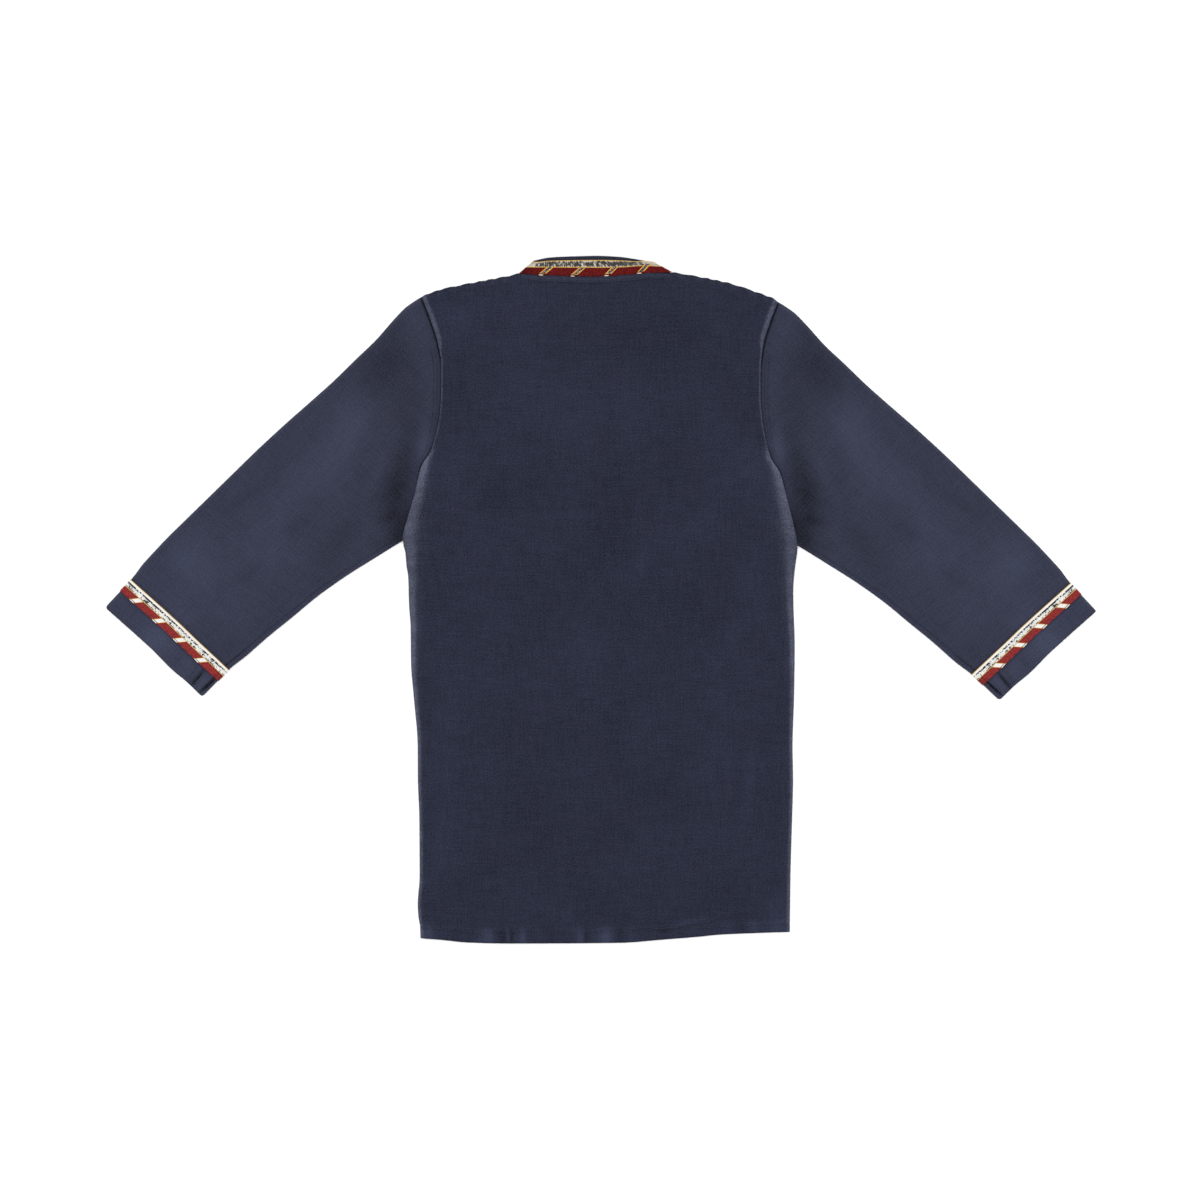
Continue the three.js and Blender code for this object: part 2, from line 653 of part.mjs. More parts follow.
function buildCollar() {
  const face = wall / 2;
  addPiece('collar', collarStrip(0, collarHeight, -face, face), navy, 0.9);
  const braidFace = face + seamGap;
  addPiece('collar_braid_red', collarStrip(0.2, collarRedTop, braidFace, braidFace + braidThick), red, 0.6);
  const silverStrip = collarStrip(collarRedTop + seamGap, collarSilverTop, braidFace, braidFace + braidThick);
  addPiece('collar_braid_silver', silverStrip, silver, 0.45, 0.3);
  const rest = collarLow + 2 * collarTurn + braidFace + braidThick + seamGap;
  collarBars.forEach((centre, i) => {
    const foot = read(collarBack, 'x', 'foot', centre);
    const corner = (along, across, lift) => raised(
      centre + along * Math.sin(barSlant + 0.15) + across,
      foot - 4 - along * Math.cos(barSlant + 0.15),
      rest + lift,
    );
    const grid = [-0.5, 0.5].map((a) => [-0.5, 0.5].map((b) => ({
      outer: corner(a * barLong, b * barWide, barThick),
      inner: corner(a * barLong, b * barWide, 0),
    })));
    addPiece(`collar_bar_${i + 1}`, clothWall(grid), gold, 0.45, 0.4);
  });
}

buildBack();
buildPlacket(buildFront());
buildButtons();
for (const [name, arm] of Object.entries(arms)) {
  buildSleeve(name, arm);
  buildCuffBraid(name, arm);
}
buildCollar();

// The origin is the middle of the kurta's box, on the surface that it lies on.
const box = new THREE.Box3().setFromObject(kurta);
const middle = box.getCenter(new THREE.Vector3());
kurta.position.set(-middle.x, -middle.y, -box.min.z);

export default kurta;
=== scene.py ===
import math

import bpy
import numpy as np
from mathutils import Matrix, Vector


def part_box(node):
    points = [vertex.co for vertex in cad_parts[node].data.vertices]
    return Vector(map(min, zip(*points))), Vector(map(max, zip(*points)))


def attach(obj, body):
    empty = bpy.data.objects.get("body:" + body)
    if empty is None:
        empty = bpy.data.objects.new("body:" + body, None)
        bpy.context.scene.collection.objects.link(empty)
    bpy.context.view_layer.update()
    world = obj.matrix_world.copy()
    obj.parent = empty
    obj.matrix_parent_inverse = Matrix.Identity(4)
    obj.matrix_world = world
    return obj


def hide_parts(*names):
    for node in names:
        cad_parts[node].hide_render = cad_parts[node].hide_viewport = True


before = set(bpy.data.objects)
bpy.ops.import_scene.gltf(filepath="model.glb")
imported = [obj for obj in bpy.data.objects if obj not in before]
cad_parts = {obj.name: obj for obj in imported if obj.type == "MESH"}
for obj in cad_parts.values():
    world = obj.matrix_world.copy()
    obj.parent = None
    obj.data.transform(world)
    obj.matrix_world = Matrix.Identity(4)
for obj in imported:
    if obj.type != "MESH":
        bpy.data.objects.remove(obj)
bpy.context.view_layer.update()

bl_info = {
    "name": "Laid-out kurta",
    "version": (1, 0, 0),
    "blender": (4, 5, 0),
    "location": "View3D > Sidebar > Kurta",
    "description": "Cloth, braid, seams and stitching for a kurta that lies flat, back side up",
    "category": "Add Mesh",
}

# The cut, in millimetres: x to the right and "down" from the top of the collar, as in the solids.

LENGTH = 687.5
SOLID_WALL = 1.0
GAP = 0.3
LAYER = SOLID_WALL + GAP
CLOTH = 0.7
CENTRE_FRONT = -5.3
HEM = 11.0
# Round sizes of a body panel, which turn places from 0 to 1 into distances from its edges
PANEL_WIDE, PANEL_LONG = 372, 640
NECK_LEFT, NECK_RIGHT = -80.8, 70.2
NECK_MIDDLE, NECK_HALF = (NECK_LEFT + NECK_RIGHT) / 2, (NECK_RIGHT - NECK_LEFT) / 2
NECK_POINT = 17.5
NECK_DEPTH = 57.0
PLACKET_HALF = 14.0
PLACKET_LONG = 160.0
PLACKET_RISE = 1.5
CUFF_ACROSS = 132.0
RED_WIDE = 6.9
BRAID_WIDE = 15.6
BRAID_THICK = 0.6
COLLAR_HIGH = 19.5
COLLAR_RED_TOP = 7.4
COLLAR_SILVER_TOP = 14.4
BAR_WIDE = 6.3
BAR_CENTRE = 4.3
BAR_SLANT = math.radians(41)
BAR_PITCH = 29.2
# Slanting bars of the collar: place across it and height above its foot
COLLAR_BARS = ((-54.4, 3.9), (-22.9, 3.9), (10.6, 4.7), (43.2, 4.5))
# Bars round the hidden front neck, from -1 to 1 across it
FRONT_BARS = (-0.88, -0.66, -0.44, -0.2, 0.2, 0.44, 0.66, 0.88)
# Distances of the buttons below the front neck
BUTTONS_BELOW = (22, 70, 118)
# The camera: width of the picture in metres where the garment lies, focal length and sensor in mm
PICTURE_WIDE, LENS, SENSOR = 1.2, 100.0, 36.0

# Outline of the body. Sides and underarms: place down and distance from the middle; the others: x and place down.
LEFT_SIDE = (
    (41, 179.8), (64, 170.8), (87, 163.4), (108, 160), (135, 160), (158, 161.5), (194, 170.1),
    (210.5, 179.8), (238, 186.4), (259, 192.5), (282, 198.2), (290, 197.3), (297, 195.5),
    (310, 194.6), (320, 192.9), (350, 192), (370, 190.5), (408, 190), (440, 187.4), (490, 183.4),
    (524, 183.2), (560, 181.8), (620, 181.4), (648, 183.3), (662, 182.5), (670, 181), (682.2, 180.6),
)
RIGHT_SIDE = (
    (46, 177), (65, 169.8), (93, 161.6), (116, 159.6), (142, 159.6), (165, 161.6), (201.6, 169.8),
    (217, 179), (232, 183.2), (255, 189.2), (273, 193.4), (290, 196.3), (296, 196), (304, 195),
    (320, 193.1), (334, 192.2), (350, 192.4), (390, 193.7), (440, 193), (490, 191.5), (524, 192),
    (564, 191), (620, 189.4), (675.9, 188.7),
)
LEFT_UNDERARM = ((240, 183.2), (264, 186.2), (278, 186.8))
RIGHT_UNDERARM = ((247, 184), (270, 186.7), (284, 187.3))
FOLD_START = {"left": 210.5, "right": 217.0}
SHOULDER_LINE = (
    (-179.8, 41), (-168.8, 36.3), (-154.8, 32), (-134.8, 28), (-113.8, 24), (-92.8, 20),
    (-80.8, 17.8), (-55.8, 19.5), (-9.8, 21), (26.2, 19), (49.2, 16.8), (70.2, 16.8),
    (96.2, 20.5), (114.2, 24), (131.2, 28), (145.2, 32.5), (155.2, 36), (166.2, 40),
    (174.2, 43.5), (177, 46),
)
HEM_LINE = (
    (-180.6, 682.2), (-158.8, 684), (-133.8, 686.5), (-91.8, 687.5), (-46.8, 687.4),
    (19.2, 686.8), (62.2, 683.6), (97.2, 680.8), (118.2, 678.7), (167.2, 676.6), (188.7, 675.9),
)
# The rolls along the sides of the back: place down, then height or width.
ROLL_HIGH = ((200, 0.2), (250, 1.4), (290, 2.2), (440, 1.6), (690, 0.9))
ROLL_WIDE = ((200, 4), (250, 13), (290, 15), (440, 9), (690, 5))
# Edges of the sleeves: distance from the cuff and place across.
SLEEVE_FOLD = (
    (0, 0), (38, 0.4), (60, -1.4), (86, -1.2), (118, 0.4), (149, 2.2), (182, 4.1), (218, 6.2),
    (247, 8.6), (262, 10), (295, 13.6), (325, 16.5), (353, 18), (382, 19.8), (408, 19.2),
    (420, 19.4), (436, 22.4), (442, 24.2),
)
SLEEVE_SEAM = {
    "left": (
        (0, 132), (38, 133.6), (60, 137.2), (86, 140.1), (118, 144.9), (149, 149.2), (182, 156.1),
        (218, 165.8), (247, 173.7), (262, 178), (442, 178),
    ),
    "right": (
        (0, 132), (38, 134.7), (60, 138.7), (86, 141.4), (118, 146), (149, 150.3), (182, 157.1),
        (218, 166.6), (247, 174.5), (262, 178.6), (442, 178.6),
    ),
}
# How far the cuff and its trim waver: place across, from 0 at the fold to 1 at the seam, and distance.
CUFF_EDGE = {
    "left": ((0, -0.2), (0.45, 0.4), (0.7, -1.1), (0.84, -0.2), (1, -0.9)),
    "right": ((0, 1.5), (0.45, 2.2), (0.7, 0.9), (0.84, 1.8), (1, 1.2)),
}
TRIM_EDGE = ((0, 0), (0.45, 0.6), (0.7, -0.1), (0.84, -0.3), (1, -0.6))
SEAM_LONG, FOLD_LONG, SLEEVE_STRAIGHT = 262.0, 442.0, 96.0
# Low swells of the sleeves: distance from the cuff, place across from 0 to 1, length, width and height.
SLEEVE_SWELLS = (
    (222, 0.42, 26, 0.2, 1.5), (196, 0.12, 34, 0.16, 1.0), (168, 0.7, 30, 0.14, 1.1),
    (118, 0.3, 34, 0.22, 1.3), (74, 0.62, 22, 0.18, 0.9),
)
# The collar at the back, by the x of its foot: how far down the foot is, and the x and place down of its head.
COLLAR_FOOT = ((-79.6, 17.2), (-60, 18.2), (-30, 19.4), (-4, 19.8), (26, 18.4), (48, 16.4), (69, 16.2))
COLLAR_HEAD_X = ((-79.6, -65.4), (-60, -51), (-30, -24), (-4, -4), (26, 18), (48, 34), (69, 51.6))
COLLAR_HEAD = ((-79.6, 4.4), (-60, 1.6), (-30, 0.4), (-4, 0), (26, 1), (48, 3.2), (69, 6.4))
COLLAR_TURN = 1.0
COLLAR_LOW = BRAID_THICK + GAP + SOLID_WALL / 2

# Each arm: the cuff's corner at the fold, where the braid starts, its bars' places across, and the corner's radius.
ARMS = {
    "left": {
        "side": -1, "corner": (-495.8, 351.2), "lean": math.radians(42.36), "trim": 22.1,
        "bars": (18.9, 49.1, 77.2, 106.3), "round": 2.2, "edge": LEFT_SIDE, "underarm": LEFT_UNDERARM,
    },
    "right": {
        "side": 1, "corner": (496.4, 356.1), "lean": math.radians(42.47), "trim": 24.1,
        "bars": (21.4, 51.4, 78.6, 107.9), "round": 0.7, "edge": RIGHT_SIDE, "underarm": RIGHT_UNDERARM,
    },
}

# Soft ridges (high above 0) and troughs: x and down of both ends, width, height and bow.
BACK_CREASES = (
    (-62, 30, -36, 24, 2.6, 0.5, 2), (-66, 40, -30, 31, 4.0, -0.4, 3), (40, 26, 84, 15, 2.6, 0.5, -2),
    (44, 34, 92, 25, 4.0, -0.4, -3), (-158, 96, -118, 122, 6, 0.5, 5), (-157, 118, -126, 140, 5, -0.4, 3),
    (157, 92, 112, 116, 6, 0.5, -5), (157, 121, 128, 142, 5, -0.4, -4), (-176, 212, -120, 262, 9, 0.6, 10),
    (-184, 240, -140, 300, 8, -0.5, 8), (176, 214, 124, 270, 9, 0.6, -9), (186, 248, 142, 312, 8, -0.5, -8),
    (-120, 300, -96, 520, 16, 0.5, 9), (-52, 210, -44, 420, 14, -0.4, -6), (34, 120, 42, 330, 13, 0.45, 5),
    (108, 330, 96, 560, 17, 0.5, -8), (150, 480, 146, 660, 11, 0.6, 4), (-168, 420, -160, 640, 10, 0.5, 3),
    (0, 470, 10, 650, 14, -0.4, 6),
)
HEM_CREASES = (
    (60, 676.4, 113, 666.6, 1.5, -0.5, 1.6), (64, 672, 112, 662, 4, 0.4, 1.6),
    (-112, 672, -110, 688, 3.6, 0.4, 0.4), (-99, 674, -97, 688, 3, -0.4, 0.4), (-79, 674, -77, 688, 2, 0.4, -0.3),
    (-21, 675, -19, 688, 2.4, 0.35, 0.3), (-14, 675, -13, 688, 2, -0.35, 0.2), (6, 674, 5, 688, 4, 0.4, 0.2),
    (-172, 668, -170, 684, 4, 0.4, 0.3), (150, 660, 154, 677, 3, 0.35, 0.4),
)
SLEEVE_CREASES = (
    (-201, 286, -214, 268, 4, -0.9, 1), (-212, 292, -226, 270, 4, 0.8, 1), (-198, 262, -206, 232, 6, -0.8, -2),
    (-192, 215, -206, 180, 6, 0.7, 3), (-186, 120, -216, 96, 7, -0.8, -3), (-176, 150, -205, 178, 8, 0.8, 4),
    (-236, 150, -262, 214, 12, 0.9, 7), (-206, 200, -226, 268, 9, -0.9, -6), (-262, 262, -300, 300, 8, 0.7, 4),
    (-300, 215, -338, 262, 10, -0.7, 5), (-342, 246, -380, 300, 10, 0.7, -5), (-392, 305, -420, 350, 8, -0.6, 3),
    (-230, 96, -262, 120, 8, 0.5, 2), (-400, 285, -430, 312, 8, 0.6, -3),
)
CUFF_CREASES = (
    (-395, 411.5, -411, 431.5, 1.5, -1.1, 0.4), (-383, 419.8, -401, 436.7, 1.4, -1.1, 0.6),
    (-389, 415, -405, 433, 2.4, 0.35, 0.3), (-404, 404, -420, 424, 4.0, 0.22, 0.5),
    (-418, 398, -428, 412, 3.0, -0.2, 0.3),
)

# The painted highlight where each side of the back rolls over, by its place down: width in mm and strength.
STRIP_WIDE = (
    (192, 4), (205, 6.2), (225, 8.2), (250, 10.5), (280, 12.5), (300, 10.5), (322, 7.6), (350, 6.4), (400, 5),
    (440, 4), (490, 3.2), (690, 3),
)
STRIP_BRIGHT = (
    (190, 0.7), (206, 1.1), (225, 0.95), (245, 0.82), (290, 0.70), (350, 0.84), (490, 0.74), (690, 0.6),
)
# Broad painted light and shade of the cloth's soft folds, for the sleeves and the back: x, down, half length, half
# width, lean in degrees and strength.
SLEEVE_PAINTED_SHADING = (
    (-214, 108, 34, 20, 62, -0.30), (-228, 128, 46, 26, 66, -0.16), (-196, 150, 40, 9, 78, -0.12),
    (-352, 300, 70, 44, 42, 0.04), (-248, 158, 36, 18, 62, 0.26), (-210, 236, 36, 14, 80, -0.30),
    (-186, 170, 60, 12, 88, -0.08), (-420, 302, 14, 22, 42, 0.12), (-332, 304, 22, 16, 42, 0.10),
    (-380, 304, 18, 20, 40, -0.10), (-201, 64, 20, 14, 42, -0.12), (-200, 229, 50, 11, 80, -0.30),
    (-195, 272, 30, 11, 66, -0.60), (-214, 262, 12, 5, 20, -0.20), (-224, 288, 12, 4, 20, -0.16),
    (-250, 178, 60, 18, 66, 0.24), (-177, 190, 18, 8, 80, 0.40), (-292, 215, 40, 26, 60, 0.16),
    (-258, 280, 34, 14, 50, -0.16), (-330, 268, 46, 22, 55, 0.16), (-400, 306, 32, 36, 40, 0.26),
    (-446, 384, 44, 17, 42, 0.40), (-420, 405, 14, 10, 42, 0.20), (-366, 350, 26, 22, 50, 0.12),
    (-240, 150, 28, 10, 60, -0.14), (-450, 345, 26, 34, 42, 0.14), (-300, 262, 30, 10, 48, -0.14),
    (-345, 232, 60, 7, 42, -0.10), (-186, 60, 16, 22, 10, 0.16), (-356, 320, 22, 9, 40, -0.12),
    (-222, 214, 26, 7, 62, 0.14), (-420, 270, 26, 8, 45, -0.10),
)
BACK_PAINTED_SHADING = (
    (40, 80, 46, 24, 4, -0.17), (-80, 150, 70, 50, 30, 0.09), (10, 275, 50, 26, 80, -0.14),
    (-146, 60, 40, 22, 10, 0.12), (-150, 222, 26, 14, 84, 0.17), (150, 214, 26, 13, 96, 0.17),
    (-106, 236, 30, 18, 80, -0.12), (-152, 480, 90, 13, 90, 0.12), (148, 330, 30, 12, 80, 0.14),
    (26, 150, 46, 12, 92, 0.10), (-160, 580, 50, 12, 80, 0.09), (178, 656, 18, 13, 80, 0.30),
    (-140, 120, 30, 10, 90, -0.10), (-20, 410, 40, 22, 80, 0.08), (90, 380, 60, 20, 84, -0.08),
    (110, 470, 90, 40, 80, 0.08), (-120, 420, 110, 40, 85, 0.06), (-40, 560, 80, 60, 10, -0.07),
    (120, 230, 60, 30, 70, 0.08), (148, 530, 40, 5, 86, 0.22), (-130, 60, 40, 14, 12, 0.10),
    (40, 304, 22, 4, 86, 0.18), (134, 384, 8, 26, 8, 0.14), (-60, 86, 80, 1.4, 0.5, 0.16),
    (-14, 137, 62, 1.2, -1, 0.14), (88, 202, 52, 1.3, 1, 0.14), (-168, 337, 16, 1.2, 2, 0.20),
    (196, 482, 26, 1.3, 0, 0.16), (60, 612, 70, 1.2, 1, 0.10), (-100, 505, 60, 1.2, -1, 0.10),
)
# Painted highlights and painted shade along the hem's puckers: x, half width and strength.
HEM_PAINTED_SHADING = (
    (-173, 6, 0.22), (-146, 9, -0.06), (-114, 8, 0.26), (-98, 6, -0.20), (-92.6, 1.4, 0.30), (-89.6, 1, -0.35),
    (-78.6, 2.4, 0.32), (-52, 10, -0.10), (-21, 3, 0.26), (-15, 3, -0.22), (5, 8, 0.34), (18, 4, -0.16),
    (30, 3, 0.14), (62, 9, -0.10), (92, 8, 0.08), (126, 4, 0.14), (141, 3, -0.10), (152, 6, 0.14), (176, 8, 0.20),
)

# Along the armholes the hidden panel runs this share of its inset outward, down to where its underarm ends.
ARMHOLE_OVERLAP = 0.15
ARMHOLE_END = (238, 252)
# Gold cords: places across the cuffs' silver band and lowest heights in mm, and their width in metres.
CUFF_CORDS = (0.25, 8.15)
CUFF_CORD_LOW, COLLAR_CORD_LOW = 0.37, 0.36
CORD_WIDE = 0.0006

low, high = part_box("button_1")
SHIFT = np.array([
    (low.x + high.x) / 2 - CENTRE_FRONT / 1000,
    (low.y + high.y) / 2 - (LENGTH / 2 - (NECK_POINT + NECK_DEPTH + BUTTONS_BELOW[0])) / 1000,
    low.z,
])


def mix(a, b, t):
    return a + (b - a) * t


def ramp(at, start, end):
    t = np.clip((at - start) / (end - start), 0, 1)
    return t * t * (3 - 2 * t)


def near(at, place, wide):
    """1 at a place, falling away smoothly on both sides of it."""
    return np.exp(-(((at - place) / wide) ** 2))


def uneven_wave(at, rate, swing, slow, phase=0.0):
    """A wave along a line, with a pitch that wanders."""
    return np.sin(at * rate + swing * np.sin(at * slow) + phase)


def quarter(edge):
    """How far a quarter circle has fallen, from 0 to 1."""
    return 1 - np.sqrt(1 - edge * edge)


def read(rows, at):
    """The smooth value of a table at a place, without overshoot."""
    keys, values = np.array(rows, float).T
    long = np.diff(keys)
    slope = np.diff(values) / long
    product = slope[:-1] * slope[1:]
    total = np.where(product > 0, slope[:-1] + slope[1:], 1)
    tangent = np.concatenate([slope[:1], np.where(product > 0, 2 * product / total, 0), slope[-1:]])
    at = np.clip(at, keys[0], keys[-1])
    k = np.clip(np.searchsorted(keys, at) - 1, 0, len(long) - 1)
    t = (at - keys[k]) / long[k]
    return (
        (2 * t**3 - 3 * t**2 + 1) * values[k] + (t**3 - 2 * t**2 + t) * long[k] * tangent[k]
        + (3 * t**2 - 2 * t**3) * values[k + 1] + (t**3 - t**2) * long[k] * tangent[k + 1]
    )


def graded(length, first, last, step):
    """Places from 0 to 1: given steps in mm from each end, and even ones between."""
    start, end = np.array(first) / length, 1 - np.array(last)[::-1] / length
    count = max(2, round((end[0] - start[-1]) * length / step))
    return np.concatenate([start, np.linspace(start[-1], end[0], count + 1)[1:-1], end])


def points(x, down, z):
    x, down, z = np.broadcast_arrays(x, down, z)
    return np.stack([x, LENGTH / 2 - down, z], -1) / 1000 + SHIFT


def soft_lines(x, down, creases):
    """Height of listed creases, each steeper on one side and fading out at both ends."""
    height = np.zeros(np.broadcast(x, down).shape)
    for x0, d0, x1, d1, wide, high, bow in creases:
        long = math.hypot(x1 - x0, d1 - d0)
        along = ((x - x0) * (x1 - x0) + (down - d0) * (d1 - d0)) / long**2
        across = ((x - x0) * (d1 - d0) - (down - d0) * (x1 - x0)) / long
        across = across - 4 * bow * along * (1 - along)
        wide_here = wide * np.where(across > 0, 0.7, 1.35) * (0.75 + 0.5 * np.clip(along, 0, 1))
        fade = np.clip(1 - (2 * along - 1) ** 2, 0, 1) ** 0.8
        height += high * fade * near(across, 0, wide_here)
    return height


# Painted light and shade: a colour multiplier from soft oval patches
def painted_light_and_shade(x, down, patches):
    tone = np.ones(np.broadcast(x, down).shape)
    for cx, cd, long, wide, lean, strength in patches:
        c, s = math.cos(math.radians(lean)), math.sin(math.radians(lean))
        a, b = ((x - cx) * c - (down - cd) * s) / long, ((x - cx) * s + (down - cd) * c) / wide
        tone += strength * np.exp(-a * a - b * b)
    return tone


def ripple(x, down, seed, size, count=7):
    """Smooth uneven waves, the same on every run."""
    rng = np.random.default_rng(seed)
    height = 0
    for _ in range(count):
        angle, phase, scale = rng.uniform(0, math.pi), rng.uniform(0, 2 * math.pi), size * rng.uniform(0.6, 1.7)
        height = height + np.sin((x * math.cos(angle) + down * math.sin(angle)) * 2 * math.pi / scale + phase)
    return height / count


# Meshes


def plain_object(name, mesh, material):
    if not mesh.materials:
        mesh.materials.append(material)
    return linked(name, mesh)


def shell(name, outer, inner, grain, material, keep=None, closed=False, sharp=50, **attributes):
    """A closed shell from two grids of points. Grain is its UV in metres; attributes are one number a point."""
    rows, columns = outer.shape[:2]
    across = columns if closed else columns - 1
    kept = np.ones((rows - 1, across), bool) if keep is None else keep
    i, j = np.nonzero(kept)

    def corner(i, j, wall):
        return np.stack([wall * rows * columns + i * columns + j % columns, i * grain.shape[1] + j], -1)

    def quads(*corners):
        return np.stack(corners, 1)

    faces = [
        quads(corner(i, j, 0), corner(i + 1, j, 0), corner(i + 1, j + 1, 0), corner(i, j + 1, 0)),
        quads(corner(i, j + 1, 1), corner(i + 1, j + 1, 1), corner(i + 1, j, 1), corner(i, j, 1)),
    ]
    padded = np.pad(kept, ((1, 1), (1, 1)), mode="constant")
    if closed:
        padded[1:-1, 0], padded[1:-1, -1] = kept[:, -1], kept[:, 0]
    for di, dj, first, second in (
        (-1, 0, (0, 1), (0, 0)), (0, -1, (0, 0), (1, 0)), (1, 0, (1, 0), (1, 1)), (0, 1, (1, 1), (0, 1)),
    ):
        bare = ~padded[1 + di:1 + di + rows - 1, 1 + dj:1 + dj + across] & kept
        i, j = np.nonzero(bare)
        p, q = (i + first[0], j + first[1]), (i + second[0], j + second[1])
        faces.append(quads(corner(*q, 0), corner(*p, 0), corner(*p, 1), corner(*q, 1)))
    faces = np.concatenate(faces)
    place = np.concatenate([outer.reshape(-1, 3), inner.reshape(-1, 3)])
    used, index = np.unique(faces[..., 0], return_inverse=True)
    index = index.reshape(faces.shape[:2])
    place = place[used]
    a, b, c, d = (place[index[:, k]] for k in range(4))
    volume = (a * np.cross(b, c)).sum() + (a * np.cross(c, d)).sum()
    if volume < 0:
        index, faces = index[:, ::-1], faces[:, ::-1]
    mesh = bpy.data.meshes.new(name)
    mesh.from_pydata(place.tolist(), [], index.tolist())
    mesh.polygons.foreach_set("use_smooth", np.ones(len(index), bool))
    mesh.set_sharp_from_angle(angle=math.radians(sharp))
    uv = mesh.uv_layers.new(name="grain")
    uv.data.foreach_set("uv", grain.reshape(-1, 2)[faces[..., 1]].astype(np.float32).ravel())
    for key, value in attributes.items():
        value = np.broadcast_to(value, (rows, columns)).ravel()
        attribute = mesh.attributes.new(key, "FLOAT", "POINT")
        attribute.data.foreach_set("value", np.concatenate([value, value])[used].astype(np.float32))
    mesh.update()
    return plain_object(name, mesh, material)


def settle(piece, nodes):
    """The piece rides with the garment and stands for its solids, which are hidden."""
    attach(piece, "root")
    if nodes:
        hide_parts(*nodes)
    return piece


def linked(name, data):
    piece = bpy.data.objects.new(name, data)
    bpy.context.scene.collection.objects.link(piece)
    return piece


def line_object(name, lines, closed=False):
    """Open or closed lines of points as loose edges, for the node trees to follow."""
    place, edges = [], []
    for line in lines:
        start = len(place)
        place += [tuple(p) for p in line]
        edges += [(start + k, start + k + 1) for k in range(len(line) - 1)]
        if closed:
            edges.append((start + len(line) - 1, start))
    mesh = bpy.data.meshes.new(name)
    mesh.from_pydata(place, edges, [])
    mesh.update()
    return linked(name, mesh)


def point_object(name, spots):
    """Points that each hold the band's direction and the way that they face."""
    place, band, face = zip(*spots)
    mesh = bpy.data.meshes.new(name)
    mesh.from_pydata([tuple(p) for p in place], [], [])
    for key, value in (("band", band), ("face", face)):
        attribute = mesh.attributes.new(key, "FLOAT_VECTOR", "POINT")
        attribute.data.foreach_set("vector", np.array(value, np.float32).ravel())
    mesh.update()
    return linked(name, mesh)


# Nodes


class Field:
    """A socket that can be added, multiplied and compared, each time through a Math node."""

    def __init__(self, graph, socket):
        self.graph, self.socket = graph, socket

    def maths(self, operation, *others):
        node = self.graph.node("ShaderNodeMath", {"operation": operation}, dict(enumerate((self, *others))))
        return Field(self.graph, node.outputs[0])

    def __add__(self, other):
        return self.maths("ADD", other)

    def __sub__(self, other):
        return self.maths("SUBTRACT", other)

    def __mul__(self, other):
        return self.maths("MULTIPLY", other)

    def __truediv__(self, other):
        return self.maths("DIVIDE", other)

    def __rsub__(self, other):
        return (self * -1) + other

    __radd__ = __add__

    def wave(self, pitch):
        """A sine with this distance from crest to crest."""
        return (self * (2 * math.pi / pitch)).maths("SINE")

    def absolute(self):
        return self.maths("ABSOLUTE")

    def between(self, start, end):
        """0 below start and 1 above end, smooth between them."""
        node = self.graph.node(
            "ShaderNodeMapRange", {"interpolation_type": "SMOOTHSTEP"},
            {"Value": self, "From Min": start, "From Max": end},
        )
        return Field(self.graph, node.outputs["Result"])


class Graph:
    """A node tree being built. Every node comes from its one method."""

    def __init__(self, tree):
        self.tree = tree

    def node(self, kind, settings=None, values=None):
        node = self.tree.nodes.new(kind)
        for key, value in (settings or {}).items():
            setattr(node, key, value)
        for key, value in (values or {}).items():
            socket = node.inputs[key]
            if isinstance(value, Field):
                self.tree.links.new(value.socket, socket)
            elif isinstance(value, bpy.types.NodeSocket):
                self.tree.links.new(value, socket)
            else:
                socket.default_value = value
        return node

    def noise(self, vector, scale, detail=2.0, roughness=0.5):
        values = {"Vector": vector, "Scale": scale, "Detail": detail, "Roughness": roughness}
        node = self.node("ShaderNodeTexNoise", {"noise_dimensions": "3D"}, values)
        return Field(self, node.outputs["Fac"])

    def attribute(self, name):
        node = self.node("ShaderNodeAttribute", {"attribute_type": "GEOMETRY", "attribute_name": name})
        return Field(self, node.outputs["Fac"])

    def vector(self, x, y, z=0.0):
        return self.node("ShaderNodeCombineXYZ", None, {0: x, 1: y, 2: z}).outputs[0]

    def tinted(self, colour, tone):
        """A colour made lighter or darker by a field."""
        node = self.node("ShaderNodeVectorMath", {"operation": "SCALE"}, {0: colour, "Scale": tone})
        return node.outputs[0]

    def blended(self, factor, first, second):
        node = self.node("ShaderNodeMix", {"data_type": "RGBA"}, {0: factor, 6: first, 7: second})
        return node.outputs[2]


class Finish(Graph):
    """A material, with its UV in metres as two fields, or the place on the piece where it isn't mapped."""

    def __init__(self, name, mapped=True):
        self.material = bpy.data.materials.new(name)
        self.material.use_nodes = True
        super().__init__(self.material.node_tree)
        self.tree.nodes.clear()
        if mapped:
            uv = self.node("ShaderNodeUVMap", {"uv_map": "grain"}).outputs[0]
            split = self.node("ShaderNodeSeparateXYZ", None, {0: uv})
            self.u, self.v = Field(self, split.outputs[0]), Field(self, split.outputs[1])
        else:
            self.place = self.node("ShaderNodeTexCoord").outputs["Object"]

    def mottle(self, along, across, seed=0.0, detail=2.0, roughness=0.5):
        """Noise over the UV, as fine as is asked each way."""
        return self.noise(self.vector(self.u * along, self.v * across, seed), 1.0, detail, roughness)

    def close(self, colour, height=None, distance=0.0002, strength=0.5, **sockets):
        values = {"Base Color": colour}
        values.update({key.replace("_", " "): value for key, value in sockets.items()})
        if height is not None:
            bump = self.node(
                "ShaderNodeBump", None, {"Height": height, "Distance": distance, "Strength": strength}
            )
            values["Normal"] = bump.outputs[0]
        shader = self.node("ShaderNodeBsdfPrincipled", None, values)
        self.node("ShaderNodeOutputMaterial", None, {"Surface": shader.outputs[0]})
        return self.material


